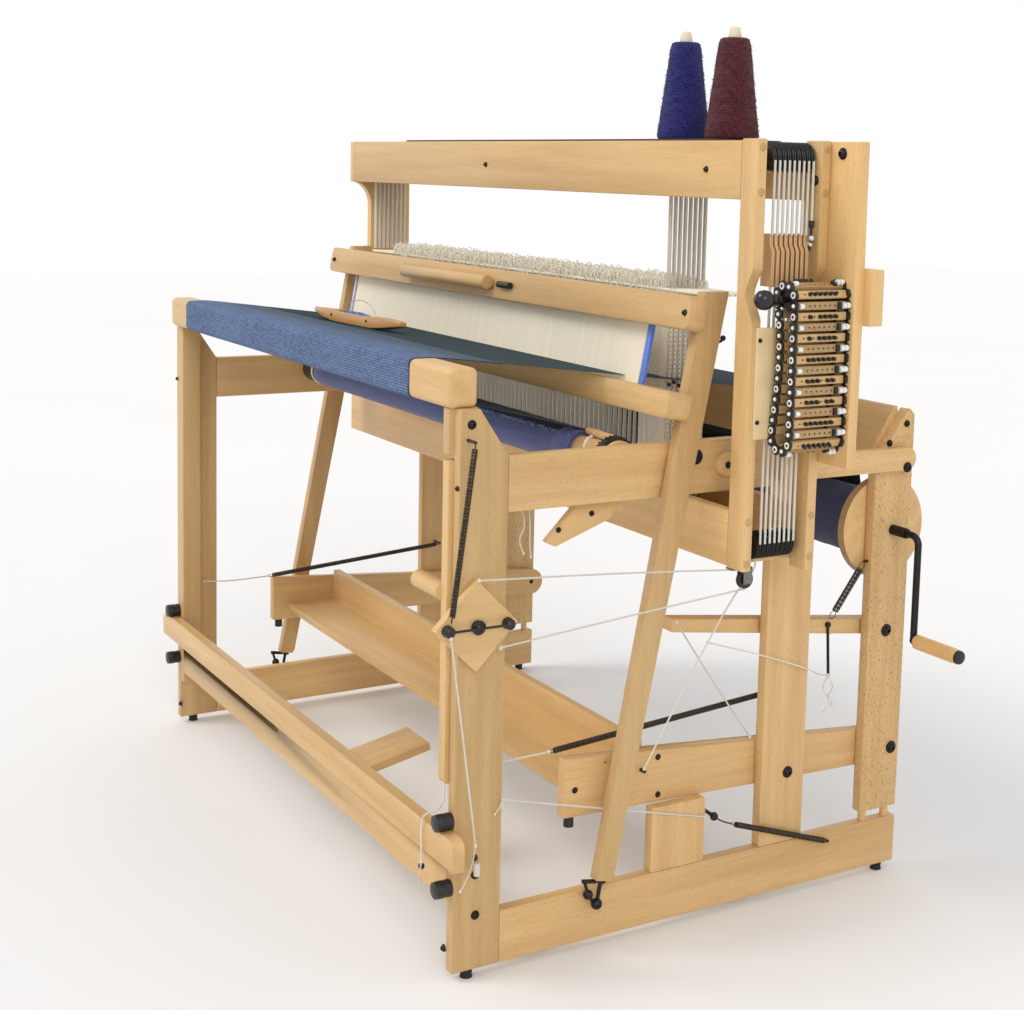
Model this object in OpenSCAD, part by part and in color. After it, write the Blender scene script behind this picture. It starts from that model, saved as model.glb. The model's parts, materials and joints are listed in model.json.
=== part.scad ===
// Floor loom with eight shafts and a mechanical dobby.
// X runs along the weaving width, with the dobby at +X. +Y runs from the weaver to the warp beam.

/* [Overall] */
// Height of the castle above the floor
castle_top = 1250; // [1200:5:1400]
// Width over the outer faces of the two side frames
frame_w = 1292; // [1050:2:1600]
// Depth from the front posts' front face to the rear posts' rear face
frame_d = 867; // [840:1:1050]

/* [Side frames] */
// Thickness of the frame's boards
board = 20; // [16:0.5:25]
// Depth of a front post
post_w = 80; // [60:1:100]
// Height of the front posts' top, which carries the breast beam
post_top = 858; // [820:1:1000]
// Depth of the flat at the top of a front post, before its slant
post_flat = 32; // [20:1:50]
// Height of a bottom rail
bottom_rail_h = 83; // [60:1:100]
// Height of the rubber feet
foot_h = 13; // [8:0.5:20]
// Height of an upper rail
upper_rail_h = 84; // [60:1:100]
// Drop from the posts' top to the upper rails' top, where the slant ends
upper_rail_drop = 71; // [60:1:90]
// Depth of a centre leg
leg_w = 90; // [60:1:110]
// Depth of a rear post
rear_post_w = 82; // [60:1:100]
// Height of the plastic spacers under a rear post
spacer_h = 18; // [10:1:40]
// Depth of the strip inside a front post
strip_w = 38; // [25:1:50]

/* [Beams] */
// Height of the breast beam
breast_h = 58; // [40:1:80]
// Depth of the breast beam
breast_w = 49; // [35:1:70]
// How far the breast beam stands in front of the posts
breast_nose = 15; // [5:1:25]
// Rounding of the breast beam's long edges
breast_r = 10; // [3:1:16]
// Radius of the cloth roll
cloth_roll_r = 30; // [29:1:50]
// Radius of the warp roll
warp_roll_r = 57; // [40:1:75]
// Radius of the warp beam's end discs
warp_disc_r = 88; // [70:1:95]
// Height of the warp beam's axis
warp_beam_z = 607; // [590:1:650]
// Gap between the cloth's left edge and the left side frame
cloth_left_gap = 93; // [60:1:300]
// Gap between the cloth's right edge and the right side frame
cloth_right_gap = 120; // [100:1:300]

/* [Castle] */
// Distance from the front posts' front face to the castle's front board
castle_y = 427; // [420:1:440]
// Depth of the castle over its two boards
castle_d = 140; // [138:1:160]
// Thickness of the castle's boards
castle_board = 18; // [14:0.5:22]
// How far the castle's boards reach past the side frames
castle_over = 68; // [60:1:90]
// Height of the castle's upper boards
upper_box_h = 88; // [70:1:110]
// Height of the castle's lower boards
lower_box_h = 87; // [70:1:90]
// Gap between the lower boards and the upper rails
lower_box_gap = 14; // [4:1:20]
// Width of an upright
upright_w = 40; // [30:1:50]

/* [Shafts] */
// Spacing of the shafts
shaft_pitch = 10; // [9:0.1:10.5]
// Thickness of a shaft bar
shaft_bar_t = 5; // [3:0.1:5.5]
// Height of a shaft bar
shaft_bar_h = 12; // [8:0.5:14]
// Height of the lower shaft bars' underside
shaft_low = 702; // [696:1:715]
// Travel of a shaft
shaft_travel = 40; // [30:1:42]
// Height of the upper shaft bars' top
shaft_top = 1018; // [1000:1:1040]
// Radius of the cords
cord_r = 1; // [0.6:0.1:1.2]

/* [Beater] */
// Backward lean of the resting beater, in degrees
beater_lean = 10.4; // [9:0.1:10.5]
// Length of a sword
sword_len = 922; // [880:1:940]
// Width of a sword at its foot
sword_foot_w = 32; // [25:1:36]
// Width of a sword at its top
sword_top_w = 46; // [36:1:48]
// Height of the handrail
handrail_h = 53; // [40:1:70]
// Thickness of the handrail
handrail_t = 33; // [24:1:36]
// Height of the race board
race_h = 41; // [30:1:50]
// Depth of the race board
race_t = 45; // [35:1:50]
// Height of the reed between the two boards
reed_h = 95; // [80:1:110]
// Running clearance of the pivots
fit = 0.05; // [0.02:0.01:0.09]

/* [Treadle] */
// Height of a treadle arm at its front
treadle_front_h = 95; // [70:1:100]
// Radius of a treadle arm's rear end
treadle_end_r = 30; // [22:1:34]
// Depth of the tread board
tread_d = 107; // [90:1:130]
// Thickness of the tread board and its riser
tread_t = 16; // [12:1:20]

/* [Dobby] */
// Radius of the peg drum
drum_r = 17; // [12:0.5:18]
// Spacing of the peg bars along the chain
chain_pitch = 16; // [14:0.5:18]
// Height of a jack plate
jack_h = 79; // [70:1:85]

/* [Hidden] */
shaft_count = 8;

// The loom's centre plane and front face, so that the origin is on the floor below the middle
loom_x = -52;
loom_y = -445;

// Side frames
outer = frame_w / 2;
inner = outer - board;
rail_top = foot_h + bottom_rail_h;
upper_rail_top = post_top - upper_rail_drop;
upper_rail_low = upper_rail_top - upper_rail_h;
castle_back = castle_y + castle_d;
rear_post_y = frame_d - rear_post_w;
rear_post_top = upper_rail_top - 47;
lower_box_top = upper_rail_low - lower_box_gap;
lower_box_low = lower_box_top - lower_box_h;
castle_half = outer + castle_over;
upright_out = castle_half + upright_w;
plate_t = 14;
gap = 0.3;

// Beams and web
breast_back = breast_w - breast_nose;
breast_top = post_top + breast_h;
back_beam_top = rear_post_top + 76;
back_beam_y = rear_post_y + 12;
back_beam_w = 48;
back_beam_low = back_beam_top - 94;
web_t = 1.2;
web_front = breast_back - breast_r;
web_rear = back_beam_y + 38;
web_left = cloth_left_gap - inner;
web_right = inner - cloth_right_gap;
cloth_beam_y = 290;
cloth_beam_z = upper_rail_low + 57;
warp_beam_y = frame_d - 38;
axle_r = 8;
ratchet_r = 36;
hub_len = 36;
crank_reach = 63;
grip_len = 104;

// Beater, in a frame that leans with it: u is across the sword to the rear, v is along it
beater_pivot = [243, rail_top - 20];
sword_x = outer + 4;
sword_t = 20;
sword_u = -15;
sword_v = 39;
race_v = 759;
reed_v = race_v + race_h;
handrail_v = reed_v + reed_h;
rail_half = sword_x + sword_t + 15;
ball_r = 8;
pin_r = 3;

// Shafts, jacks and their cords
first_shaft_y = castle_y + 45;
shaft_left = -outer - 54;
shaft_right = inner - 26;
heddle_left = -inner - 3;
heddle_right = inner - 150;
low_bar_left = 26 - inner;
cord_left = shaft_left + 10;
cord_low_left = 66 - inner;
cord_right = inner - 156;
pulley_r = 20;
top_pulley_z = castle_top - 26;
low_pulley_z = lower_box_low + 32;
pulley_x = castle_half + 6;
jack_x = castle_half + 8;
jack_top = castle_top - 138;
jack_pitch = 9.2;
jack_t = 6;

// Dobby drum and chain
drum_x = upright_out + 31;
drum_z = castle_top - 233;
chain_y0 = castle_y + 41;
chain_y1 = castle_back - 3;
chain_bars = 34;
bar_w = 12;
bar_t = 7;
band_t = 2;
chain_r = drum_r + 0.3 + bar_t / 2;
chain_drop = (chain_bars * chain_pitch - 2 * PI * chain_r) / 2;

// Pivots of the levers, in Y and Z
treadle_pivot = [frame_d - 18, 221];
brake_pivot = [frame_d - 42, 432];
lever_pivot = [11, post_top - 96];
plate_pivot = [25, post_top - 315];
pedal_pivot = [36, 150];
pedal_x = 160;
pivot_r = 5;

// Routes of the cords
plate_cord = [[674, -24, 535], [670, 2, 370], [664, 27, 214]];
plate_upper_cord = [[664, 25, 612], [690, 250, 604], [720, 459, 594.4]];
plate_lower_cord = [[664, 62, 508], [692, 250, 536], [720, 459, 563.6]];
treadle_cord = [[634, 342, 266], [668, 432, 468], [692, 462, 545], [718, 480, 598],
    [720, 478, 612.9]];
brake_cord = [[668, 432, 468], [652, 560, 424], [650, 655, 388], [628, 700, 366], [625.4, 718, 362]];
tie_cord = [[620.9, 404, 492], [620.9, 480, 385], [620.9, 560, 278]];
lever_cord = [[616, 0, 299.4], [616, -8, 262], [600, -24, 248], [590, -24, 232], [590, -24, 172]];
block_cord = [[645, 81.1, 268], [648, 300, 211], [648, 474, 166]];
right_foot_cord = [[625.4, 50, 306], [604, 100, 307], [600, 187, 309]];
left_foot_cord = [[-625.4, 50, 306], [-604, 100, 307], [-600, 187, 309]];

wood = "burlywood";
dark_steel = "dimgray";
black = "#222222";
cord_white = "white";

function web_z(y) = breast_top + 1
    + (back_beam_top - breast_top) * (y - web_front) / (web_rear - web_front);
function shaft_y(i) = first_shaft_y + (i - 1) * shaft_pitch;
function jack_y(i) = castle_y + 41 + (i - 1) * jack_pitch;
function unit(v) = v / norm(v);
// Corners of a ring of a cord, square to the direction t
function ring(c, t, r, sides) = let (u = unit(cross(t, [0.31, 0.52, 0.8])), w = cross(t, u))
    [for (k = [0 : sides - 1]) c + r * (cos(360 * k / sides) * u + sin(360 * k / sides) * w)];
// Where a line from p touches a circle about c. side is 1 or -1.
function touch(p, c, r, side) = let (d = c - p, a = atan2(d.y, d.x) + side * asin(r / norm(d)),
    l = sqrt(norm(d) ^ 2 - r ^ 2)) p + l * [cos(a), sin(a)];

// Puts the loom's own frame on the part's origin
module place() translate([loom_x, loom_y, 0]) children();

module on_side(side) {
    if (side < 0) mirror([1, 0, 0]) children();
    else children();
}

module block(lo, hi) translate(lo) cube(hi - lo);

// A board that stands along Y. Its outline is in Y and Z.
module standing(x, thick) translate([x, 0, 0]) rotate([90, 0, 90]) linear_extrude(thick) children();

module rod_x(x0, x1, yz, r, sides = 48)
    translate([x0, yz[0], yz[1]]) rotate([0, 90, 0]) cylinder(h = x1 - x0, r = r, $fn = sides);

module rod_y(y0, y1, xz, r, sides = 48)
    translate([xz[0], y0, xz[1]]) rotate([-90, 0, 0]) cylinder(h = y1 - y0, r = r, $fn = sides);

module rod_z(z0, z1, xy, r, sides = 48)
    translate([xy[0], xy[1], z0]) cylinder(h = z1 - z0, r = r, $fn = sides);

module rod_between(a, b, r, sides = 24) {
    d = b - a;
    translate(a) rotate([0, acos(d.z / norm(d)), atan2(d.y, d.x)])
        cylinder(h = norm(d), r = r, $fn = sides);
}

// A cord swept along its route
module cord(points, r = cord_r, sides = 8) {
    last = len(points) - 1;
    tangents = [for (i = [0 : last])
        unit(points[min(i + 1, last)] - points[max(i - 1, 0)])];
    rings = [for (i = [0 : last]) each ring(points[i], tangents[i], r, sides)];
    walls = [for (i = [0 : last - 1]) for (k = [0 : sides - 1]) let (n = (k + 1) % sides)
        [i * sides + k, (i + 1) * sides + k, (i + 1) * sides + n, i * sides + n]];
    start_cap = [for (k = [0 : sides - 1]) k];
    end_cap = [for (k = [sides - 1 : -1 : 0]) last * sides + k];
    polyhedron(rings, concat(walls, [start_cap, end_cap]), convexity = 4);
}

// A bolt head on a washer, whose axis points outwards along X
module bolt_head(x, yz, washer_r = 9, head_r = 5.5) {
    rod_x(x, x + 1.6, yz, washer_r);
    rod_x(x + 1.6, x + 6, yz, head_r, 6);
}

// ---- Side frames ----

module front_post() {
    standing(inner, board) polygon([[0, foot_h], [post_w, foot_h], [post_w, upper_rail_top],
        [post_flat, post_top], [0, post_top]]);
}

module left_post() color(wood) place() {
    on_side(-1) {
        front_post();
        block([inner - board, 0, rail_top], [inner, strip_w, post_top]);
    }
}

// The hand lever and the tension plate turn on pins in this post
module right_post() color(wood) place() {
    front_post();
    block([inner - board, -8, lever_pivot[1] + 28], [inner, strip_w, post_top]);
    rod_x(inner - board, inner, lever_pivot, pivot_r);
    rod_x(outer, outer + plate_t + 2 * gap, plate_pivot, pivot_r);
    rod_x(outer + plate_t + 2 * gap, outer + plate_t + 6, plate_pivot, 10);
}

// The beater turns on a pin in each bottom rail
module bottom_rail() {
    block([inner, post_w, foot_h], [outer, frame_d, rail_top]);
    rod_x(outer, sword_x + sword_t - 1, beater_pivot, pin_r);
}

module left_bottom_rail() color(wood) place() on_side(-1) bottom_rail();

module right_bottom_rail() color(wood) place() bottom_rail();

// The cloth beam's stub turns in a hole in each upper rail
module upper_rail() difference() {
    block([inner, post_w, upper_rail_low], [outer, castle_back, upper_rail_top]);
    rod_x(inner - 1, outer - 5.5, [cloth_beam_y, cloth_beam_z], axle_r + fit);
}

module left_upper_rail() color(wood) place() on_side(-1) upper_rail();

module right_upper_rail() color(wood) place() upper_rail();

module leg() block([inner, castle_back, rail_top], [outer, castle_back + leg_w, upper_rail_top]);

module left_leg() color(wood) place() on_side(-1) leg();

module right_leg() color(wood) place() leg();

// Carries the warp beam in a hole, and the treadle and brake lever on pins
module rear_post(side) on_side(side) {
    difference() {
        block([inner, rear_post_y, rail_top + spacer_h], [outer, frame_d, rear_post_top]);
        rod_x(inner - 1, outer + 1, [warp_beam_y, warp_beam_z], 12 + fit);
    }
    for (y = [rear_post_y + 14, frame_d - 18])
        rod_z(rail_top, rail_top + spacer_h, [outer - board / 2, y], 7);
    // arm forward to the centre leg
    standing(outer, plate_t + 4) {
        translate([castle_back + 5, rear_post_top - 28])
            square([frame_d - castle_back - 34, 38]);
        translate([frame_d - 29, rear_post_top - 9]) circle(r = 19, $fn = 48);
    }
    rod_x(inner - board - 1, inner, treadle_pivot, pivot_r);
    if (side > 0) rod_x(inner - 36, inner, brake_pivot, pivot_r);
}

module left_rear_post() color(wood) place() rear_post(-1);

module right_rear_post() color(wood) place() rear_post(1);

// The slanted beam between its two end plates
module back_beam() color(wood) place() {
    standing(-inner, 2 * inner) polygon([[back_beam_y - 20, back_beam_low],
        [back_beam_y + 34, back_beam_top - 10], [back_beam_y + 40, back_beam_top],
        [back_beam_y + back_beam_w, back_beam_top],
        [back_beam_y + back_beam_w, back_beam_top - 16], [back_beam_y + 2, back_beam_low]]);
    for (side = [-1, 1]) on_side(side)
        standing(inner, board) polygon([[back_beam_y + 2, rear_post_top],
            [frame_d, rear_post_top], [frame_d, back_beam_top - 13],
            [frame_d - 10, back_beam_top - 3], [back_beam_y + 54, back_beam_top - 3],
            [back_beam_y + 49, back_beam_top - 9]]);
}

module feet() color(black) place() for (side = [-1, 1]) on_side(side)
    for (y = [30, frame_d - 30])
        rod_z(0, foot_h, [outer - board / 2, y], 9.5);

// ---- Front ----

module breast_outline(grow) translate([-breast_nose, post_top]) offset(r = grow)
    offset(r = breast_r) offset(delta = -breast_r) square([breast_w, breast_h]);

module breast_beam() color(wood) place()
    standing(-inner - 8, frame_w - 2 * board + 16) breast_outline(0);

// A stretcher between the posts, and a round-ended batten held to their front by four knobs
module front_boards() color(wood) place() {
    batten_half = outer + 37;
    block([board - inner, 0, 117], [inner, board, 187]);
    translate([0, 0, 187]) rotate([90, 0, 0]) linear_extrude(board) hull() for (side = [-1, 1]) {
        translate([side * (batten_half - 20), 28]) circle(r = 20, $fn = 32);
        translate([side * (batten_half - 20) - 20, 0]) square([40, 20]);
    }
    for (side = [-1, 1]) for (z = [247.5, 145]) rod_y(-26, 0, [side * (outer - 10), z], 12.5);
    // lugs and pin for the foot pedal
    for (x = [pedal_x + 28 - gap, pedal_x + 54 + gap])
        block([x, board, 138], [x + 8, pedal_pivot[0] + 8, 162]);
    rod_x(pedal_x + 30, pedal_x + 60, pedal_pivot, 4);
}

module rail_blocks() color(wood) place() {
    // guide block on the right bottom rail, with a pin for the cord's ball
    block([inner, castle_y - 75, rail_top], [outer, castle_y + 28, rail_top + 107]);
    rod_between([outer - 6, castle_y + 20, rail_top + 91],
        [outer + 1, castle_y + 39, rail_top + 77], 3);
    // pawl arm under the right upper rail
    standing(inner - 16, 16) polygon([[158, upper_rail_low - 57], [175, upper_rail_low - 65],
        [270, upper_rail_low - 31], [292, upper_rail_low - 3], [292, upper_rail_low + 10],
        [225, upper_rail_low + 10]]);
}

// ---- Castle ----

module castle_boards() color(wood) place() {
    low = castle_top - upper_box_h;
    block([-castle_half, castle_y, low], [castle_half, castle_y + castle_board, castle_top]);
    block([-castle_half, castle_back - castle_board, low], [castle_half, castle_back, castle_top]);
    block([-castle_half, castle_y + castle_board, castle_top - 12],
        [castle_half - 18, castle_back - castle_board, castle_top]);
}

module castle_tray() color(black) place()
    block([260 - castle_half, castle_y + 6, castle_top],
        [castle_half - 76, castle_back - 6, castle_top + 3]);

module lower_box() color(wood) place() {
    block([-castle_half, castle_y, lower_box_low],
        [castle_half, castle_y + castle_board, lower_box_top]);
    block([-castle_half, castle_back - castle_board, lower_box_low],
        [castle_half, castle_back, lower_box_top]);
    block([-castle_half, castle_y + castle_board, lower_box_low],
        [castle_half, castle_back - castle_board, lower_box_low + 10]);
}

// An upright's outline in X and Z, with a smooth notch beside the peg drum
module upright_outline(low) {
    notch = [for (a = [0 : 15 : 180]) [upright_out - 9 * (1 - cos(2 * a)), drum_z + 50 - a / 2]];
    polygon(concat([[castle_half, low], [upright_out, low]],
        [for (i = [len(notch) - 1 : -1 : 0]) notch[i]],
        [[upright_out, castle_top + 3], [castle_half, castle_top + 3]]));
}

module castle_uprights() color(wood) place() {
    translate([0, castle_y + castle_board, 0]) rotate([90, 0, 0])
        linear_extrude(castle_board) upright_outline(lower_box_low - 2);
    translate([0, castle_back, 0]) rotate([90, 0, 0])
        linear_extrude(castle_board) upright_outline(lower_box_low - 12);
}

module castle_end_panel() color(wood) place()
    standing(-castle_half - castle_board, castle_board) polygon(concat(
        [[castle_y, castle_top], [castle_y, castle_top - upper_box_h]],
        [for (a = [0 : 15 : 90])
            [castle_y + 44 * sin(a), castle_top - upper_box_h - 52 * (1 - cos(a))]],
        [[castle_y + 44, lower_box_low], [castle_back, lower_box_low], [castle_back, castle_top]]));

// Board that carries the drum, with a block behind it and a comb beside the jacks
module dobby_board() color(wood) place() {
    right = upright_out + 66;
    difference() {
        block([castle_half, castle_back, castle_top - 490],
            [right, castle_back + castle_board, castle_top + 2]);
        rod_y(castle_back - 1, castle_back + 12, [drum_x, drum_z], pivot_r + fit);
    }
    block([right - 42, castle_back + castle_board, castle_top - 272],
        [right + 16, castle_back + castle_board + 26, castle_top - 187]);
}

module cover_plate() color("tan") place()
    block([upright_out, castle_y + 9, castle_top - 446], [upright_out + 3, castle_y + 68, drum_z - 44]);

// ---- Cord pulleys, cords and springs ----

module cord_pulleys() color(black) place() {
    for (i = [1 : shaft_count + 1]) {
        rod_y(jack_y(i) - 3.5, jack_y(i) + 3.5, [pulley_x, top_pulley_z], pulley_r);
        if (i <= shaft_count)
            rod_y(jack_y(i) - 3.5, jack_y(i) + 3.5, [pulley_x, low_pulley_z], pulley_r);
    }
    for (z = [top_pulley_z, low_pulley_z])
        rod_y(castle_y + castle_board, castle_back - castle_board, [pulley_x, z], 4);
    // single pulley in its bracket under the front upright
    centre = [castle_y + 32, lower_box_low - 23];
    rod_x(pulley_x - 6, pulley_x + 6, centre, 14);
    rod_x(pulley_x - 9, pulley_x + 9, centre, 3);
    for (x = [pulley_x - 9, pulley_x + 7])
        block([x, centre[0] - 8, centre[1] - 6], [x + 2, centre[0] + 8, lower_box_low - 2]);
    block([pulley_x - 9, castle_y + 2, lower_box_low - 5],
        [pulley_x + 9, centre[0] + 8, lower_box_low - 2]);
}

// Four cords per shaft, one at each end of its two bars, and one or two per jack, all taut
module harness_cords() color(cord_white) place() {
    beside = shaft_bar_t / 2 + cord_r + 0.7;
    overlap = 20;
    for (i = [1 : shaft_count]) {
        y = shaft_y(i) + beside;
        for (x = [cord_low_left, cord_right])
            rod_z(lower_box_low + 10, shaft_low + overlap, [x, y], cord_r, 8);
        for (x = [cord_left, cord_right])
            rod_z(shaft_top - overlap, castle_top - 12, [x, y], cord_r, 8);
    }
    for (i = [1 : shaft_count + 1])
        rod_z(low_pulley_z, top_pulley_z, [pulley_x + pulley_r + cord_r,
            jack_y(i) + jack_pitch / 2], cord_r, 8);
}

module cords() color(cord_white) place() {
    for (points = [plate_cord, plate_upper_cord, plate_lower_cord, treadle_cord, lever_cord,
        block_cord, right_foot_cord, left_foot_cord, brake_cord]) cord(points);
    cord(tie_cord, 0.7);
}

module springs() color(dark_steel) place() {
    for (side = [-1, 1])
        rod_between([side * (inner - 26), 187, 309],
            [side * (inner - 26), castle_back + 34, 340], 5);
    rod_between([outer + 6, 505, 151], [outer + 6, 712, 80], 5);
    rod_x(outer, outer + 6, [712, 80], 2.5);
    rod_between([outer + 24, 12, post_top - 44], [outer + 24, -22, 556], 4.5);
    rod_between([outer - 10, rear_post_y - 7, 555], [outer - 17, 715, 462], 6);
    for (side = [-1, 1]) on_side(side) rod_x(inner - 26, inner, [castle_back + 34, 340], 2.5);
    rod_x(outer, outer + 24, [12, post_top - 44], 2.5);
    rod_between([outer - 10, rear_post_y - 7, 555], [outer - 10, rear_post_y, 555], 2.5);
}

// ---- Loose pieces that lie on the loom ----

module yarn_cones() color("midnightblue") place()
    for (x = [castle_half - 256, castle_half - 124]) translate([x, castle_y + 73, castle_top + 3]) {
        cylinder(h = 158, r1 = 44, r2 = 24, $fn = 64);
        translate([0, 0, 158]) cylinder(h = 17, r1 = 10, r2 = 7, $fn = 32);
    }

module shuttle() color(wood) place() {
    y = 190;
    lean = atan((back_beam_top - breast_top) / (web_rear - web_front));
    translate([-145, y, web_z(y) + web_t + gap]) rotate([lean, 0, 0]) rotate(8)
        linear_extrude(24) hull() {
            square([190, 36], center = true);
            for (side = [-1, 1]) translate([side * 148, 0]) circle(r = 5, $fn = 24);
        }
}

// ---- Web: cloth in front, warp behind ----

// Outline of a sheet whose inner face runs through points, thickened away from what it covers
function ribbon(points, t) = let (last = len(points) - 1, outward = [for (i = [0 : last])
    let (d = unit(points[min(i + 1, last)] - points[max(i - 1, 0)])) [d.y, -d.x]])
    concat(points, [for (i = [last : -1 : 0]) points[i] + t * outward[i]]);

// Points around a rounded edge, from angle a0 to a1
function bend(c, r, a0, a1) = [for (k = [0 : 5]) let (a = a0 + (a1 - a0) * k / 5)
    c + r * [cos(a), sin(a)]];

module web() color("steelblue") place() {
    r = breast_r + gap;
    cloth_start = [breast_back - breast_r, post_top + breast_r];
    nose = breast_r - breast_nose;
    warp_over = [back_beam_y + back_beam_w + gap, back_beam_top + gap];
    standing(web_left, web_right - web_left) polygon(ribbon(concat(
        [touch(warp_over, [warp_beam_y, warp_beam_z], warp_roll_r + 0.5, 1), warp_over,
            [web_rear, back_beam_top + gap], [web_front, breast_top + gap]],
        bend([nose, breast_top - breast_r], r, 90, 180),
        bend([nose, post_top + breast_r], r, 180, 270),
        bend(cloth_start, r, 270, 290),
        [touch(cloth_start + r * [cos(290), sin(290)], [cloth_beam_y, cloth_beam_z],
            cloth_roll_r + 0.5 + web_t, 1)]), web_t));
}

// ---- Fasteners ----

// Bolt heads on the outer faces of the side frames, and on the boards' front faces
module fasteners() color(black) place() {
    for (side = [-1, 1]) on_side(side) {
        for (yz = [[18, post_top - 22], [37, 161], [38, 98]]) bolt_head(outer, yz, 7, 4.5);
        bolt_head(outer, [castle_back + leg_w / 2 + 10, 216]);
        bolt_head(outer, treadle_pivot, 11, 6);
        bolt_head(outer, brake_pivot, 11, 6);
        bolt_head(outer + plate_t + 4, [frame_d - 29, rear_post_top - 23]);
        for (yz = [[frame_d - 18, back_beam_top - 28], [frame_d - 55, rear_post_top + 17]])
            bolt_head(outer, yz, 6, 4);
    }
    for (x = [-88, castle_half - 87])
        rod_y(castle_y - 3, castle_y, [x, castle_top - 44], 5);
    for (side = [-1, 1]) rod_y(-5, 0, [side * (outer - 5), post_top - 114], 4);
    // plugs on the right-hand uprights' outer faces
    for (y = [castle_y + 9, castle_back - 9],
        z = [castle_top - 10, castle_top - 76, lower_box_low + 10, lower_box_low + 75])
        rod_x(upright_out, upright_out + 1, [y, z], 6);
    rod_y(castle_back - 4, castle_back, [upright_out + 26, castle_top - 16], 9);
    rod_y(castle_back - castle_board - 1.5, castle_back - castle_board,
        [upright_out - 14, castle_top - 57], 7);
    // wheel and stop pad on the right upper rail
    rod_x(outer, outer + 12, [castle_y + 40, upper_rail_low + 44], 19, 48);
    rod_x(outer, outer + 3, [castle_y - 15, upper_rail_low + 59], 12);
}

// ---- Beater ----

// A frame that leans back with the beater about its pivots
module leaning() translate([0, beater_pivot[0], beater_pivot[1]]) rotate([-beater_lean, 0, 0]) children();

module beater_swords() color(wood) place() leaning() for (side = [-1, 1]) on_side(side) {
    standing(sword_x, sword_t) polygon([[sword_u, sword_v], [sword_u + sword_foot_w - 6, sword_v],
        [sword_u + sword_foot_w, sword_v + 8],
        [sword_u + sword_top_w, sword_v + sword_len + 5], [sword_u, sword_v + sword_len - 4]]);
    rod_z(ball_r - 1, sword_v, [sword_x + sword_t / 2, 0], 3);
    difference() {
        translate([sword_x + sword_t / 2, 0, 0]) sphere(r = ball_r, $fn = 48);
        rod_x(sword_x, sword_x + sword_t, [0, 0], pin_r + fit);
    }
}

// A board across the beater, rounded at its four corners
module cross_board(half, back, thick, low, high, r) translate([0, back, 0]) rotate([90, 0, 0])
    linear_extrude(thick) offset(r = r, $fn = 48) offset(delta = -r)
        translate([-half, low]) square([2 * half, high - low]);

// The handrail with its grip, and the race board, both against the front of the swords
module beater_rails() color(wood) place() leaning() {
    cross_board(rail_half, sword_u, handrail_t, handrail_v, handrail_v + handrail_h, 13);
    cross_board(rail_half + 5, sword_u, race_t, race_v, reed_v, 11);
    rod_x(-277, 72, [sword_u - handrail_t - 13.5, handrail_v + 26], 13.5);
    rod_x(100, 143, [sword_u - handrail_t - 6, handrail_v + 26], 6);
}

// The reed leaves a slot for the web just above the race board
module reed() color("whitesmoke") place() leaning() {
    left = 34 - inner;
    right = inner - 65;
    y0 = sword_u - 8;
    y1 = sword_u - 2;
    slot = 20;
    block([left, y0, reed_v + slot], [right, y1, handrail_v]);
    for (x = [left, right - 12]) block([x, y0, reed_v], [x + 12, y1, reed_v + slot]);
}

// ---- Beams ----

module cloth_beam() color("steelblue") place() {
    axis = [cloth_beam_y, cloth_beam_z];
    rod_x(web_left, web_right, axis, cloth_roll_r, 96);
    rod_x(26 - inner, web_left, axis, 28);
    rod_x(web_right, inner - 26, axis, 22);
    for (side = [-1, 1]) on_side(side) rod_x(inner - 26, outer - 6, axis, axle_r);
    rod_x(inner - 34, inner - 8, axis, ratchet_r, 96);
}

module warp_beam() color("midnightblue") place() {
    axis = [warp_beam_y, warp_beam_z];
    rod_x(web_left - 7, inner - 20, axis, warp_roll_r, 96);
    for (side = [-1, 1]) on_side(side) {
        rod_x(inner - 20, inner - 2, axis, warp_disc_r, 128);
        rod_x(300, inner - 20, axis, 30);
        rod_x(inner - 2, outer, axis, 12);
    }
    rod_x(outer, outer + hub_len, axis, 9);
}

module crank() color(black) place() {
    arm_x = outer + crank_reach;
    turn_r = 15;
    low = warp_beam_z - 177;
    rod_x(outer + hub_len, arm_x - turn_r, [warp_beam_y, warp_beam_z], 6);
    translate([arm_x - turn_r, warp_beam_y, warp_beam_z - turn_r]) rotate([90, 0, 0])
        rotate_extrude(angle = 90, $fn = 64) translate([turn_r, 0]) circle(r = 6, $fn = 32);
    rod_z(low, warp_beam_z - turn_r, [arm_x, warp_beam_y], 6);
    translate([arm_x, warp_beam_y, low]) sphere(r = 6, $fn = 32);
    rod_x(arm_x, arm_x + grip_len, [warp_beam_y, low], 4);
    rod_x(arm_x + grip_len, arm_x + grip_len + 7, [warp_beam_y, low], 11.5);
}

module crank_grip() color(wood) place() {
    low = warp_beam_z - 177;
    arm_x = outer + crank_reach;
    difference() {
        rod_x(arm_x + 7, arm_x + grip_len - gap, [warp_beam_y, low], 12.5);
        rod_x(arm_x + 6, arm_x + grip_len, [warp_beam_y, low], 4 + fit);
    }
}

// ---- Treadle, levers and pedal ----

module treadle() color(wood) place() {
    front = 200;
    arm_x = inner - 1 - board;
    p = treadle_pivot;
    for (side = [-1, 1]) on_side(side) {
        standing(arm_x, board) difference() {
            union() {
                polygon([[front, 207], [p[0], p[1] - treadle_end_r],
                    [p[0], p[1] + treadle_end_r], [front, 207 + treadle_front_h]]);
                translate(p) circle(r = treadle_end_r, $fn = 64);
            }
            translate(p) circle(r = pivot_r + fit, $fn = 48);
        }
        rod_z(190, 207, [arm_x + board / 2, front + 16], 8);
        rod_x(arm_x + board, arm_x + board + 11, [342, 262], 3);
    }
    block([-arm_x, 233, 242 - tread_t], [arm_x, 233 + tread_d, 242]);
    block([-arm_x, 233 + tread_d, 242 - tread_t], [arm_x, 233 + tread_d + tread_t, 305]);
}

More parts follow.
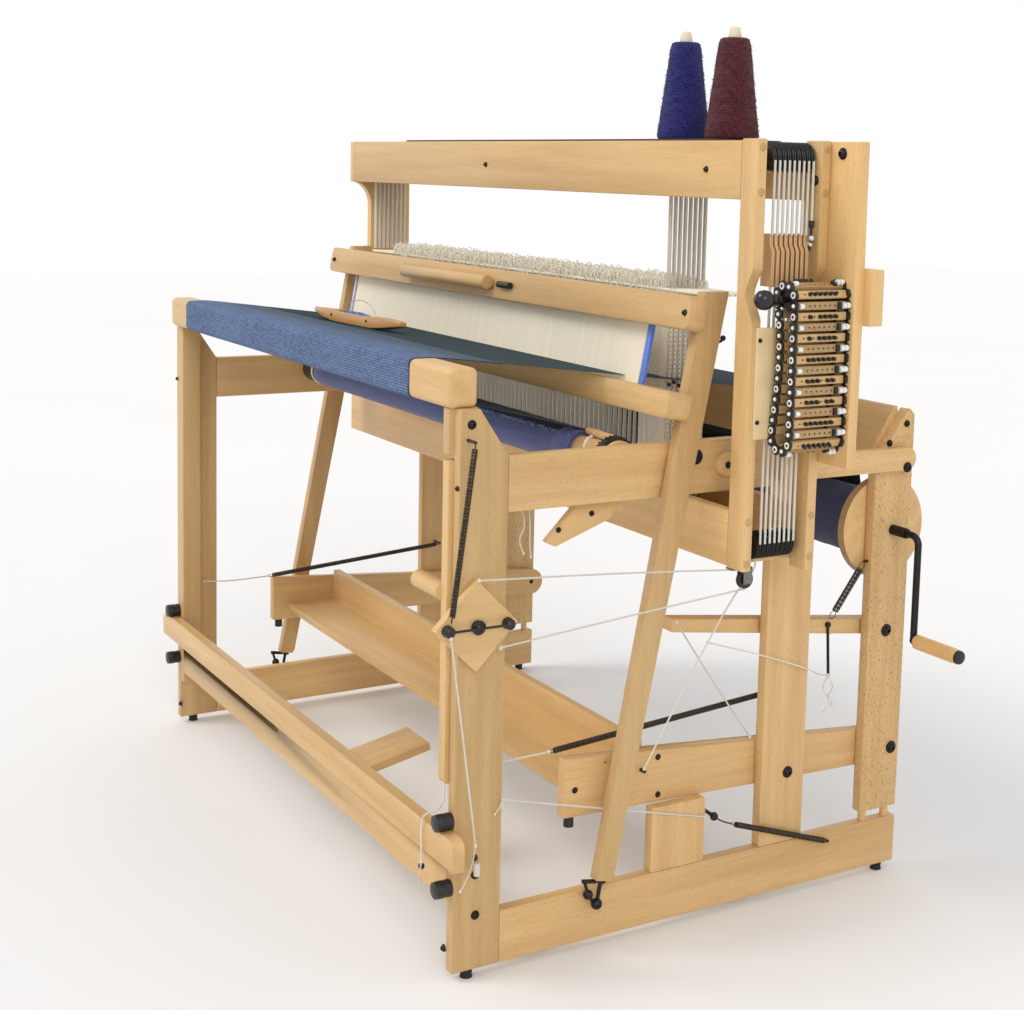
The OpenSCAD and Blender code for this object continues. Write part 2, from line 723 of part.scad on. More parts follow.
module hand_lever() color(wood) place() {
    x0 = inner - 19;
    low = lever_pivot[1] - 462;
    difference() {
        union() {
            block([x0, -8, low + 10], [inner - gap, 30, lever_pivot[1] + 20]);
            standing(x0, 19 - gap) polygon([[-8, low + 10], [-4, low], [26, low], [30, low + 10]]);
        }
        rod_x(x0 - 1, inner + 1, lever_pivot, pivot_r + fit);
    }
    rod_x(x0 - 84, x0, [-2, lever_pivot[1] - 176], 14);
}

module tension_plate() color(wood) place() {
    x0 = outer + gap;
    p = plate_pivot;
    standing(x0, plate_t) difference() {
        translate(p) rotate(45) square(96, center = true);
        translate(p) circle(r = pivot_r + fit, $fn = 48);
    }
    for (side = [-1, 1]) rod_x(x0 + plate_t, x0 + plate_t + 12, p + [side * 49, 0], 8);
    rod_y(p[0] - 49, p[0] + 49, [x0 + plate_t + 10, p[1]], 1.5, 12);
}

module brake_lever() color(wood) place() {
    x0 = inner - 36;
    p = brake_pivot;
    standing(x0, 30) difference() {
        union() {
            polygon([[396, 476], [p[0], p[1] - 13], [p[0], p[1] + 13], [396, 498]]);
            translate(p) circle(r = 13, $fn = 48);
        }
        translate(p) circle(r = pivot_r + fit, $fn = 48);
    }
    // hooked rod below the spring, for the brake's cord
    rod_between([x0 + 31.5, 716, 449], [x0 + 31.5, 722, 358], 2.5, 16);
    rod_x(x0 + 30, x0 + 34, [716, 449], 5);
}

module foot_pedal() color(wood) place() {
    translate([pedal_x, 37, 175]) rotate([12, 0, 0]) cube([90, 126, 15]);
    standing(pedal_x + 36, 18) difference() {
        polygon([[26, 140], [46, 140], [92, 186.7], [50, 177.7], [28, 166]]);
        translate(pedal_pivot) circle(r = 4 + fit, $fn = 48);
    }
}

// ---- Dobby ----

module peg_drum() color(black) place() {
    axis = [drum_x, drum_z];
    rod_y(castle_y + 12, castle_back + 11, axis, pivot_r);
    rod_y(chain_y0, chain_y1, axis, drum_r, 64);
    translate([drum_x, castle_y - 2, drum_z]) sphere(r = 15, $fn = 48);
}

// A run of peg bars between two side bands, hung over the drum
module peg_chain() color("sienna") place() {
    half_arc = PI * chain_r;
    for (k = [0 : chain_bars - 1]) {
        s = (k + 0.5) * chain_pitch;
        on_top = s < half_arc;
        on_down = s < half_arc + chain_drop;
        at_foot = s < 2 * half_arc + chain_drop;
        angle = on_top ? s / chain_r * 180 / PI
            : on_down ? 180
            : at_foot ? 180 + (s - half_arc - chain_drop) / chain_r * 180 / PI
            : 360;
        z = on_top ? 0
            : on_down ? -(s - half_arc)
            : at_foot ? -chain_drop
            : -chain_drop + (s - 2 * half_arc - chain_drop);
        translate([drum_x, chain_y0, drum_z + z]) rotate([0, -angle, 0])
            translate([chain_r - bar_t / 2, 0, -bar_w / 2]) cube([bar_t, chain_y1 - chain_y0, bar_w]);
    }
    for (y = [chain_y0, chain_y1 + band_t]) translate([drum_x, y, drum_z])
        rotate([90, 0, 0]) linear_extrude(band_t) difference() {
            stadium(chain_r + bar_t / 2);
            stadium(chain_r - bar_t / 2);
        }
}

// A round-ended loop that hangs down by the chain's drop
module stadium(r) {
    circle(r = r, $fn = 96);
    translate([0, -chain_drop]) circle(r = r, $fn = 96);
    translate([-r, -chain_drop]) square([2 * r, chain_drop]);
}

// ---- Shafts and jacks ----

// Two bars joined by side rods, with the heddles above and below the web
module shaft(i) color("silver") place() {
    y = shaft_y(i);
    t = shaft_bar_t / 2;
    block([shaft_left, y - t, shaft_top - shaft_bar_h], [shaft_right, y + t, shaft_top]);
    block([low_bar_left, y - t, shaft_low], [shaft_right, y + t, shaft_low + shaft_bar_h]);
    for (x = [low_bar_left + 3, shaft_right - 3])
        rod_z(shaft_low + shaft_bar_h, shaft_top - shaft_bar_h, [x, y], 2);
    block([heddle_left, y - 0.5, web_z(first_shaft_y) + web_t + 4],
        [heddle_right, y + 0.5, shaft_top - shaft_bar_h]);
    block([low_bar_left + 8, y - 0.5, shaft_low + shaft_bar_h],
        [heddle_right, y + 0.5, web_z(shaft_y(shaft_count)) - shaft_travel - 6]);
}

module jack(i) color("tan") place() {
    y = jack_y(i) - jack_t / 2;
    translate([0, y + jack_t, 0]) rotate([90, 0, 0]) linear_extrude(jack_t)
        polygon([[jack_x, jack_top - jack_h], [jack_x + 26, jack_top - jack_h],
            [jack_x + 26, jack_top - 26], [jack_x + 20, jack_top - 16],
            [jack_x + 20, jack_top], [jack_x, jack_top]]);
}

left_post();
right_post();
left_bottom_rail();
right_bottom_rail();
left_upper_rail();
right_upper_rail();
left_leg();
right_leg();
left_rear_post();
right_rear_post();
back_beam();
breast_beam();
front_boards();
feet();
castle_boards();
castle_tray();
lower_box();
castle_uprights();
castle_end_panel();
dobby_board();
cover_plate();
fasteners();
cord_pulleys();
yarn_cones();
web();
harness_cords();
cords();
springs();
peg_chain();
rail_blocks();
shuttle();
beater_swords();
beater_rails();
reed();
cloth_beam();
warp_beam();
crank();
crank_grip();
treadle();
hand_lever();
tension_plate();
brake_lever();
foot_pedal();
peg_drum();
shaft(1);  // shaft_1
shaft(2);  // shaft_2
shaft(3);  // shaft_3
shaft(4);  // shaft_4
shaft(5);  // shaft_5
shaft(6);  // shaft_6
shaft(7);  // shaft_7
shaft(8);  // shaft_8
jack(1);  // jack_1
jack(2);  // jack_2
jack(3);  // jack_3
jack(4);  // jack_4
jack(5);  // jack_5
jack(6);  // jack_6
jack(7);  // jack_7
jack(8);  // jack_8
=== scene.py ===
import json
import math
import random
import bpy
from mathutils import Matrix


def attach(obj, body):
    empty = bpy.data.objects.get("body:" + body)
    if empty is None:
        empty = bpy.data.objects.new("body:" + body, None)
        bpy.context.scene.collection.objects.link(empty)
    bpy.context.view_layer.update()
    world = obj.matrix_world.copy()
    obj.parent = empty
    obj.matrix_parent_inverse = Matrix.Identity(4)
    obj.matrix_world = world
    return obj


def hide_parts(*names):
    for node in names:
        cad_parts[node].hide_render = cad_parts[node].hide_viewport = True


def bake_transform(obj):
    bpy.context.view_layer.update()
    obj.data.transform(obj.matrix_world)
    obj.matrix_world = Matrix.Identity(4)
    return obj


bl_info = {
    "name": "Floor loom finish",
    "version": (1, 0, 0),
    "blender": (4, 5, 0),
    "location": "View3D > Sidebar > Loom",
    "description": "Finishes a floor loom: beech, cloth, warp, heddles, cords, springs and peg chain",
    "category": "Object",
}

import bmesh
import bpy
from bpy.props import FloatProperty, FloatVectorProperty, IntProperty, PointerProperty
from mathutils import Matrix, Vector

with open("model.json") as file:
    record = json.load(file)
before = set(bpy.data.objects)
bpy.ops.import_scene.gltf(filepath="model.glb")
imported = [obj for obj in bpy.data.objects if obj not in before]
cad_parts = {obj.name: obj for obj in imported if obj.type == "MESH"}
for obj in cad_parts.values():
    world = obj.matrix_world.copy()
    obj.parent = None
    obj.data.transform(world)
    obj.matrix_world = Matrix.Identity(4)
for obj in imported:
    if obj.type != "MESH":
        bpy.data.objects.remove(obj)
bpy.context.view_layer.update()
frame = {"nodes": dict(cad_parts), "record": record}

# Pieces are drawn in the loom's own frame, in millimetres: X along the weaving width from the
# centre plane, Y rearwards from the front posts, Z up from the floor.
MM = 0.001
ORIGIN = Vector((-52, -445, 0))
TO_ROW = Matrix.Scale(MM, 4) @ Matrix.Translation(ORIGIN)

INNER, OUTER = 626, 646
POST_TOP = 858
CASTLE_FRONT, CASTLE_BACK = 427, 567
CASTLE_TOP = 1250
LOWER_BOX_LOW = 602
WEB_LEFT, WEB_RIGHT = -533, 506
WEB_FRONT, WEB_REAR = 24, 835
BREAST_TOP, BACK_TOP = 916, 816
WEB_MIDDLE = 1.5
WEB_SLOPE = (BACK_TOP - BREAST_TOP) / (WEB_REAR - WEB_FRONT)
CLOTH_AXIS = (290, 760)
ROLL_R = 30
WARP_AXIS = (829, 607)
WARP_EDGE_Y = 500
SHAFTS = 8
SHAFT_PITCH, JACK_PITCH = 10, 9.2
PULLEY_X, TOP_PULLEY_Z, LOW_PULLEY_Z, PULLEY_R = 720, 1226, 634, 20
BEATER_PIVOT = (243, 76)
BEATER_LEAN = math.radians(10.4)
DRUM_X, DRUM_Z, DRUM_R = 785, 1017, 17
CHAIN_FRONT, CHAIN_REAR = 468, 564
TO_X, TO_Y, TO_Z, FORWARD = (1, 0, 0), (0, 1, 0), (0, 0, 1), (0, -1, 0)


def tint(red, green, blue):
    """A display colour, 0 to 255, as the linear colour that shaders take."""
    def line(v):
        v /= 255
        return v / 12.92 if v <= 0.04045 else ((v + 0.055) / 1.055) ** 2.4
    return (line(red), line(green), line(blue))


def web_z(y):
    """Height of the web's middle at depth y."""
    return BREAST_TOP + WEB_MIDDLE + WEB_SLOPE * (y - WEB_FRONT)


def shaft_y(number):
    return CASTLE_FRONT + 45 + (number - 1) * SHAFT_PITCH


def jack_y(number):
    return CASTLE_FRONT + 41 + (number - 1) * JACK_PITCH


def in_row(point):
    """A point of the loom's frame in the shared frame, in metres."""
    return (Vector(point) + ORIGIN) * MM


# ---- Sizes and colours that a user would change ----

class LoomSizes(bpy.types.PropertyGroup):
    """Sizes of the loom's fine parts, in millimetres"""
    edge: FloatProperty(name="Edge rounding", description="Rounding of the boards' long edges",
                        default=2.2, min=0.2, max=5)
    thread_pitch: FloatProperty(name="Thread spacing", description="Spacing of the warp threads",
                                default=2.0, min=1.5, max=6)
    thread: FloatProperty(name="Thread width", description="Width of a warp thread",
                          default=1.1, min=0.3, max=1.3)
    fell: FloatProperty(name="Fell", description="Depth at which the woven cloth ends",
                        default=143, min=60, max=170)
    cord: FloatProperty(name="Cord radius", description="Radius of the cords between levers",
                        default=1.4, min=0.5, max=2)
    harness: FloatProperty(name="Harness cord radius", description="Radius of the shafts' cords",
                           default=2.2, min=0.8, max=2.6)
    loops: IntProperty(name="Heddle loops", description="Loops that stand above each heddle",
                       default=5, min=0, max=8)


def colour(name, description, rgb):
    return FloatVectorProperty(name=name, description=description, subtype="COLOR", size=3,
                               min=0, max=1, default=tint(*rgb))


class LoomColours(bpy.types.PropertyGroup):
    """Colours of the loom's finishes"""
    beech: colour("Beech", "Pale wood between the grain lines", (226, 189, 132))
    beech_grain: colour("Beech grain", "Darker wood of the grain", (192, 150, 95))
    cloth: colour("Cloth", "Raised weft of the woven cloth", (124, 152, 196))
    cloth_ground: colour("Cloth ground", "Warp seen between the weft", (34, 52, 96))
    cloth_back: colour("Cloth back", "Back of the cloth on its roll", (86, 95, 156))
    # painted light: the warp is greyed towards teal from the navy it has on its roll, for the light
    # of the white strings round it
    warp: colour("Warp", "Warp threads", (62, 80, 88))
    cord: colour("Cord", "Braided cords and heddles", (250, 246, 232))
    reed: colour("Reed", "Reed dents", (255, 248, 226))
    blue_yarn: colour("Blue yarn", "Yarn of the first cone", (46, 44, 124))
    red_yarn: colour("Burgundy yarn", "Yarn of the second cone", (96, 36, 48))


def sizes():
    return bpy.context.scene.loom_sizes


def colours():
    return bpy.context.scene.loom_colours


# ---- Materials ----

class Tree:
    """Adds nodes to a shader tree. An input is a number, a colour or another node's socket."""

    def __init__(self, tree):
        self.tree = tree

    def fill(self, socket, value):
        if isinstance(value, bpy.types.NodeSocket):
            self.tree.links.new(value, socket)
        elif socket.type == "RGBA":
            socket.default_value = (*value[:3], 1)
        else:
            socket.default_value = value

    def add(self, kind, settings=None, inputs=None):
        node = self.tree.nodes.new("ShaderNode" + kind)
        for name, value in (settings or {}).items():
            setattr(node, name, value)
        for name, value in (inputs or {}).items():
            self.fill(node.inputs[name], value)
        return node

    def math(self, operation, a, b=0.5, c=0.5):
        return self.add("Math", {"operation": operation}, {0: a, 1: b, 2: c}).outputs[0]

    def mix(self, factor, a, b):
        return self.add("Mix", {"data_type": "RGBA"}, {0: factor, 6: a, 7: b}).outputs[2]

    def axes(self, vector):
        return self.add("SeparateXYZ", {}, {0: vector}).outputs

    def stretch(self, vector, scale, rotation=(0, 0, 0)):
        return self.add("Mapping", {}, {"Vector": vector, "Scale": scale,
                                        "Rotation": rotation}).outputs[0]

    def noise(self, vector, scale, detail=3, roughness=0.5):
        return self.add("TexNoise", {}, {"Vector": vector, "Scale": scale, "Detail": detail,
                                         "Roughness": roughness}).outputs["Fac"]

    def band(self, value, low, high):
        """0 below low, 1 above high and smooth between them."""
        return self.add("MapRange", {"interpolation_type": "SMOOTHSTEP"},
                        {"Value": value, "From Min": low, "From Max": high}).outputs[0]

    def lines(self, value, spacing):
        """Even lines across a coordinate, from -1 to 1."""
        return self.math("SINE", self.math("MULTIPLY", value, 2 * math.pi / spacing))

    def mottle(self, vector, scale, detail, roughness, levels, base, worn):
        """A colour that turns into another between two levels of a noise, and the noise."""
        value = self.noise(vector, scale, detail, roughness)
        return self.mix(self.band(value, *levels), base, worn), value

    def slubbed(self, slub, cloud, high, rgb, share):
        """A thread's colour, darkened to a share of itself by its slubs."""
        tone = self.math("MULTIPLY_ADD", slub, 0.5, self.math("MULTIPLY", cloud, 0.6))
        return self.mix(self.band(tone, 0.3, high), scaled(rgb, share), rgb)

    def group(self, effect, **inputs):
        """Places a shared effect with its own values."""
        return self.add("Group", {"node_tree": effect()}, inputs).outputs


def shared_group(name, inputs, outputs, build):
    """A node group that is made once. Its sockets are given as "Name Kind" pairs."""
    group = bpy.data.node_groups.get(name)
    if group:
        return group
    group = bpy.data.node_groups.new(name, "ShaderNodeTree")
    for sockets, way in ((inputs, "INPUT"), (outputs, "OUTPUT")):
        for label, kind in (socket.split() for socket in sockets):
            group.interface.new_socket(label, in_out=way, socket_type="NodeSocket" + kind)
    source = group.nodes.new("NodeGroupInput").outputs
    sink = group.nodes.new("NodeGroupOutput").inputs
    for label, socket in build(Tree(group), source).items():
        group.links.new(socket, sink[label])
    return group


def grain_group():
    """Straight beech grain along the vector's X, with short darker ray flecks."""
    def build(t, given):
        vector = given["Vector"]
        board = t.noise(t.stretch(vector, (0.7, 5, 5)), 1, 2)
        streak = t.noise(t.stretch(vector, (2.2, 46, 46)), 1, 5, 0.6)
        fibre = t.noise(t.stretch(vector, (14, 620, 620)), 1, 3, 0.6)
        ray = t.noise(t.stretch(vector, (190, 620, 620)), 1, 1, 0.4)
        shade = t.math("MULTIPLY_ADD", board, 0.55, t.math("MULTIPLY", streak, 0.75))
        shade = t.band(t.math("MULTIPLY_ADD", fibre, 0.3, shade), 0.45, 1.25)
        flecks = t.math("MULTIPLY", t.band(ray, 0.63, 0.7), given["Flecks"])
        wood = t.mix(shade, given["Light"], given["Grain"])
        dark = t.mix(0.55, given["Grain"], (0.13, 0.055, 0.02))
        height = t.math("SUBTRACT", t.math("MULTIPLY", fibre, 0.5), flecks)
        return {"Color": t.mix(flecks, wood, dark), "Height": height,
                "Roughness": t.math("MULTIPLY_ADD", streak, 0.22, 0.3)}
    return shared_group("Beech grain", ("Vector Vector", "Light Color", "Grain Color",
                                        "Flecks Float"),
                        ("Color Color", "Height Float", "Roughness Float"), build)


def lay_group():
    """Two-ply yarn or braided cord: U runs along it and V round it, in metres and turns."""
    def build(t, given):
        parts = t.axes(given["Vector"])
        twist = t.math("ADD", t.math("MULTIPLY", parts[0], given["Turns"]), parts[1])
        saw = t.math("FRACT", t.math("MULTIPLY", twist, 2))
        ply = t.math("SUBTRACT", 1, t.math("ABSOLUTE", t.math("MULTIPLY_ADD", saw, 2, -1)))
        fuzz = t.noise(given["Vector"], 900, 2)
        height = t.math("MULTIPLY_ADD", fuzz, 0.4, t.math("POWER", ply, 0.6))
        # the Shade output is painted shade, darker in the grooves between the plies
        return {"Height": height, "Shade": t.math("MULTIPLY_ADD", height, 0.5, 0.25)}
    return shared_group("Thread lay", ("Vector Vector", "Turns Float"),
                        ("Height Float", "Shade Float"), build)


def finish(name, build, bump=0.3, depth=0.0004, **shader):
    """A material. build returns its Base Color, and its Roughness and Height where they vary."""
    name = "loom_" + name
    made = bpy.data.materials.get(name)
    if made:
        return made
    made = bpy.data.materials.new(name)
    made.use_nodes = True
    t = Tree(made.node_tree)
    skin = made.node_tree.nodes["Principled BSDF"].inputs
    for label, value in shader.items():
        skin[label.replace("_", " ")].default_value = value
    found = build(t, t.add("TexCoord").outputs)
    for label in ("Base Color", "Roughness"):
        t.fill(skin[label], found[label])
    if "Height" in found:
        relief = t.add("Bump", {}, {"Strength": bump, "Distance": depth,
                                    "Height": found["Height"]})
        t.fill(skin["Normal"], relief.outputs[0])
    return made


def scaled(rgb, share):
    return [c * share for c in rgb]


TURN_TO_X = {"x": (0, 0, 0), "y": (0, 0, -math.pi / 2), "z": (0, math.pi / 2, 0)}


def beech(axis, flecks=0.35, darker=0.0, key=""):
    """Beech with its grain along an axis. A negative darker makes it paler."""
    def build(t, where):
        run = t.stretch(where["Object"], (1, 1, 1), TURN_TO_X[axis])
        out = t.group(grain_group, Vector=run, Flecks=flecks,
                      Light=scaled(colours().beech, 1 - darker),
                      Grain=scaled(colours().beech_grain, 1 - darker))
        return {"Base Color": out["Color"], "Roughness": out["Roughness"], "Height": out["Height"]}
    return finish("beech_" + axis + key, build, 0.25, 0.0003, Specular_IOR_Level=0.4,
                  Coat_Weight=0.08, Coat_Roughness=0.3)


def oiled_wood():
    """Golden oiled wood with straight grain along X."""
    def build(t, where):
        out = t.group(grain_group, Vector=where["Object"], Flecks=0.2,
                      Light=tint(216, 166, 104), Grain=tint(180, 124, 68))
        return {"Base Color": out["Color"], "Roughness": 0.35, "Height": out["Height"]}
    return finish("oiled_wood", build, 0.2, 0.0003, Coat_Weight=0.3, Coat_Roughness=0.2)


def jack_plywood():
    """Thin plywood: pale veneer faces, and darker layers on the edges across Y."""
    def build(t, where):
        run = t.stretch(where["Object"], (1, 1, 1), TURN_TO_X["z"])
        out = t.group(grain_group, Vector=run, Flecks=0.1, Light=tint(222, 184, 134),
                      Grain=tint(196, 152, 104))
        ply = t.lines(t.axes(where["Object"])[1], 0.0031)
        return {"Base Color": t.mix(t.math("MULTIPLY", t.band(ply, 0.1, 0.9), 0.55),
                                    out["Color"], tint(132, 88, 52)),
                "Roughness": 0.55, "Height": out["Height"]}
    return finish("jack_plywood", build, 0.3, 0.0003)


def plain_board():
    """Pale fibre board with a faint, even mottle."""
    def build(t, where):
        mottle = t.noise(where["Object"], 700, 4, 0.7)
        cloud = t.noise(where["Object"], 30, 2)
        tone = t.math("MULTIPLY_ADD", mottle, 0.6, t.math("MULTIPLY", cloud, 0.4))
        return {"Base Color": t.mix(t.band(tone, 0.3, 0.75), tint(226, 198, 148),
                                    tint(244, 220, 172)), "Roughness": 0.6, "Height": mottle}
    return finish("cover_board", build, 0.15, 0.0002)


def plain_cone():
    """Cream pressed paper of the cones' cores."""
    def build(t, where):
        pulp = t.noise(where["Object"], 420, 4, 0.7)
        return {"Base Color": t.mix(pulp, tint(206, 192, 158), tint(238, 228, 204)),
                "Roughness": 0.8, "Height": pulp}
    return finish("cone_paper", build, 0.2, 0.0003)


def plastic(name="black_plastic", rgb=(24, 23, 24), rough=0.38):
    def build(t, where):
        base = tint(*rgb)
        lighter = [min(1, c * 1.7 + 0.006) for c in base]
        tone, scuff = t.mottle(where["Object"], 260, 4, 0.6, (0.45, 0.8), base, lighter)
        return {"Base Color": tone, "Height": scuff,
                "Roughness": t.math("MULTIPLY_ADD", scuff, 0.25, rough - 0.1)}
    return finish(name, build, 0.08, 0.0002)


def steel(name="black_steel", rgb=(46, 44, 44)):
    def build(t, where):
        base = tint(*rgb)
        tone, wear = t.mottle(where["Object"], 340, 5, 0.65, (0.5, 0.75), base,
                              scaled(base, 2.4))
        return {"Base Color": tone, "Height": wear,
                "Roughness": t.math("MULTIPLY_ADD", wear, 0.3, 0.22)}
    return finish(name, build, 0.1, 0.0002, Metallic=0.85)


def cane():
    """The reed's pale dents."""
    def build(t, where):
        base = colours().reed
        tone, streak = t.mottle(t.stretch(where["Object"], (300, 2, 2)), 1, 3, 0.7, (0.2, 0.7),
                                scaled(base, 0.86), base)
        return {"Base Color": tone, "Roughness": 0.5, "Height": streak}
    return finish("reed_dents", build, 0.1, 0.0002)


def heddle_string():
    """Soft white string, a little darker in places."""
    def build(t, where):
        tone, _ = t.mottle(where["Object"], 260, 3, 0.7, (0.25, 0.6), tint(234, 224, 200),
                           tint(255, 251, 238))
        return {"Base Color": tone, "Roughness": 0.85}
    return finish("heddle_string", build, Specular_IOR_Level=0.2)


def cord_skin(name="white_cord", rgb=None, turns=260, rough=0.85):
    def build(t, where):
        out = t.group(lay_group, Vector=where["UV"], Turns=turns)
        base = tint(*rgb) if rgb else colours().cord
        # painted shade: the cord is darker in the grooves between its plies
        shade = t.math("POWER", out["Shade"], 0.6)
        return {"Base Color": t.mix(shade, scaled(base, 0.55), base), "Roughness": rough,
                "Height": out["Height"]}
    return finish(name, build, 0.7, 0.0006, Specular_IOR_Level=0.25)


def harness_skin():
    return cord_skin("harness_cord", None, 130)


def thread_skin(name, rgb):
    """Fine thread that runs roughly along Y or Z, with slubs along it."""
    def build(t, where):
        slub = t.noise(t.stretch(where["Object"], (900, 120, 120)), 1, 3)
        strand = t.noise(t.stretch(where["Object"], (420, 1.2, 1.2)), 1, 2)
        return {"Base Color": t.slubbed(slub, strand, 0.8, rgb, 0.5), "Roughness": 0.8,
                "Height": slub}
    return finish(name, build, 0.4, 0.0003, Sheen_Weight=0.15)


def roll_cloth():
    """The plain back of the cloth, for shapes turned about X."""
    def build(t, where):
        pick = t.lines(t.axes(where["Object"])[0], 0.0012)
        cloud = t.noise(t.stretch(where["Object"], (3, 30, 30)), 3, 4, 0.6)
        slub = t.noise(t.stretch(where["Object"], (60, 500, 500)), 1, 3, 0.7)
        return {"Base Color": t.slubbed(slub, cloud, 0.85, colours().cloth_back, 0.55),
                "Roughness": 0.85, "Height": t.math("MULTIPLY_ADD", pick, 0.3, slub)}
    return finish("cloth_back", build, 0.5, 0.0005, Sheen_Weight=0.3)


def woven(name, raised, ground, cell, row):
    """Cloth with offset raised cells between fine threads. UV is in metres across and along."""
    def build(t, where):
        uv = where["UV"]
        drift = t.math("MULTIPLY_ADD", t.noise(uv, 26, 3), 0.0016, -0.0008)
        parts = t.axes(uv)
        across, along = (t.math("ADD", part, drift) for part in parts[:2])
        brick = t.add("TexBrick", {"offset": 0.5}, {
            "Vector": t.add("CombineXYZ", {}, {0: across, 1: along}).outputs[0], "Scale": 100,
            "Brick Width": cell * 100, "Row Height": row * 100, "Mortar Size": row * 22,
            "Mortar Smooth": 1, "Bias": -0.1, "Color1": (1, 1, 1), "Color2": (0.5, 0.5, 0.5),
            "Mortar": (0.12, 0.12, 0.12)}).outputs
        cell_tone = t.axes(brick["Color"])[0]
        fine = t.math("MULTIPLY", t.math("MULTIPLY_ADD", t.lines(across, 0.0011), 0.5, 0.5),
                      t.math("MULTIPLY_ADD", t.lines(along, 0.0013), 0.35, 0.65))
        tone = t.math("MULTIPLY_ADD", t.noise(uv, 420, 4, 0.7), 0.6,
                      t.math("MULTIPLY", cell_tone, 0.8))
        tone = t.math("MULTIPLY_ADD", fine, 0.3, tone)
        tone = t.math("MULTIPLY_ADD", t.noise(uv, 9, 3), 0.3, tone)
        # painted shade: darker and greener on the flat stretch between the fell and the breast beam
        lit = t.mix(t.band(parts[1], 0.13, 0.03), raised, tint(92, 122, 132))
        return {"Base Color": t.mix(t.band(tone, 0.45, 1.45), ground, lit), "Roughness": 0.88,
                "Height": t.math("MULTIPLY_ADD", fine, 0.3,
                                 t.math("SUBTRACT", 1, brick["Fac"]))}
    return finish(name, build, 1, 0.0016, Sheen_Weight=0.1, Specular_IOR_Level=0.2)


def wound(name, rgb):
    """Yarn wound round a roll about X: fine rings with loose strays."""
    def build(t, where):
        bend = t.math("MULTIPLY", t.noise(t.stretch(where["Object"], (1, 3, 3)), 5, 2), 0.01)
        ring = t.lines(t.math("ADD", t.axes(where["Object"])[0], bend), 1 / 700)
        stray = t.noise(t.stretch(where["Object"], (300, 12, 12)), 1, 4, 0.7)
        tone = t.math("MULTIPLY_ADD", ring, 0.18, stray)
        return {"Base Color": t.mix(t.band(tone, 0.2, 0.85), scaled(rgb, 0.35), rgb),
                "Roughness": 0.75, "Height": t.math("MULTIPLY_ADD", ring, 0.5, stray)}
    return finish(name, build, 0.6, 0.0006, Sheen_Weight=0.2)


def cone_yarn(name, rgb):
    """Yarn cross-wound on an upright cone: two families of slanting lines."""
    def build(t, where):
        winds = [t.add("TexWave", {"wave_type": "BANDS", "bands_direction": "Z"}, {
            "Vector": t.stretch(where["Object"], (1, 1, 1), (side * 0.3, side * 0.2, 0)),
            "Scale": scale, "Distortion": distortion, "Detail": 3, "Detail Scale": detail_scale,
            "Detail Roughness": 0.7}).outputs["Fac"]
            for side, scale, distortion, detail_scale in ((1, 105, 3.2, 2.2), (-1, 95, 4, 2))]
        hair = t.noise(where["Object"], 620, 4, 0.8)
        tone = t.math("MULTIPLY_ADD", hair, 0.9,
                      t.math("MULTIPLY", t.math("MAXIMUM", *winds), 0.45))
        return {"Base Color": t.mix(t.band(tone, 0.4, 1.15), scaled(rgb, 0.12),
                                    [min(1, c * 1.5 + 0.012) for c in rgb]),
                "Roughness": 0.95, "Height": tone}
    return finish(name, build, 1, 0.002, Sheen_Weight=0.15, Specular_IOR_Level=0.1)


# ---- Shapes, in the loom's frame ----

def paint(faces, index):
    for face in faces:
        face.material_index = index


def faces_of(verts):
    return {face for v in verts for face in v.link_faces}


def soften(bm, edges, width, segments=2):
    bmesh.ops.bevel(bm, geom=list(edges), offset=width, offset_type="OFFSET", segments=segments,
                    profile=0.5, affect="EDGES", clamp_overlap=False, material=-1)


def facing(centre, axis):
    """Puts Z along axis at centre."""
    return Matrix.Translation(centre) @ Vector(axis).to_track_quat("Z", "Y").to_matrix().to_4x4()


def rod(bm, a, b, r, r2=None, sides=24, index=0, rim=0):
    """A round bar from a to b, its rims softened by rim."""
    a, b = Vector(a), Vector(b)
    made = bmesh.ops.create_cone(bm, cap_ends=True, segments=sides, radius1=r,
                                 radius2=r if r2 is None else r2, depth=(b - a).length,
                                 matrix=facing((a + b) / 2, b - a))
    faces = faces_of(made["verts"])
    paint(faces, index)
    if rim:
        caps = [face for face in faces if len(face.verts) == sides]
        soften(bm, {e for face in caps for e in face.edges}, rim)


def ball(bm, centre, r, index=0, stretch=(1, 1, 1), detail=12):
    place = Matrix.Translation(centre) @ Matrix.Diagonal((*stretch, 1))
    made = bmesh.ops.create_uvsphere(bm, u_segments=detail, v_segments=detail // 2 + 2, radius=r,
                                     matrix=place)
    paint(faces_of(made["verts"]), index)


def slab(bm, low, high, index=0, edge=0):
    """A box between two corners."""
    low, high = Vector(low), Vector(high)
    place = Matrix.Translation((low + high) / 2) @ Matrix.Diagonal((*(high - low), 1))
    faces = faces_of(bmesh.ops.create_cube(bm, size=1, matrix=place)["verts"])
    paint(faces, index)
    if edge:
        soften(bm, {e for face in faces for e in face.edges}, edge)


def stamp(bm, mesh, place=None, index=None):
    """Adds a copy of a mesh."""
    if index is not None:
        mesh.polygons.foreach_set("material_index", [index] * len(mesh.polygons))
    if place is None:
        bm.from_mesh(mesh)
        return
    mesh.transform(place)
    bm.from_mesh(mesh)
    mesh.transform(place.inverted())


def as_mesh(bm, name="part"):
    mesh = bpy.data.meshes.new(name)
    bm.to_mesh(mesh)
    bm.free()
    return mesh


def turned(profile, steps=32):
    """A mesh turned about Z from (radius, height) pairs."""
    bm = bmesh.new()
    points = [bm.verts.new((r, 0, z)) for r, z in profile]
    for a, b in zip(points, points[1:]):
        bm.edges.new((a, b))
    bmesh.ops.spin(bm, geom=bm.verts[:] + bm.edges[:], cent=(0, 0, 0), axis=TO_Z,
                   angle=2 * math.pi, steps=steps, use_merge=True)
    bmesh.ops.remove_doubles(bm, verts=bm.verts, dist=0.001)
    bmesh.ops.recalc_face_normals(bm, faces=bm.faces)
    return as_mesh(bm)


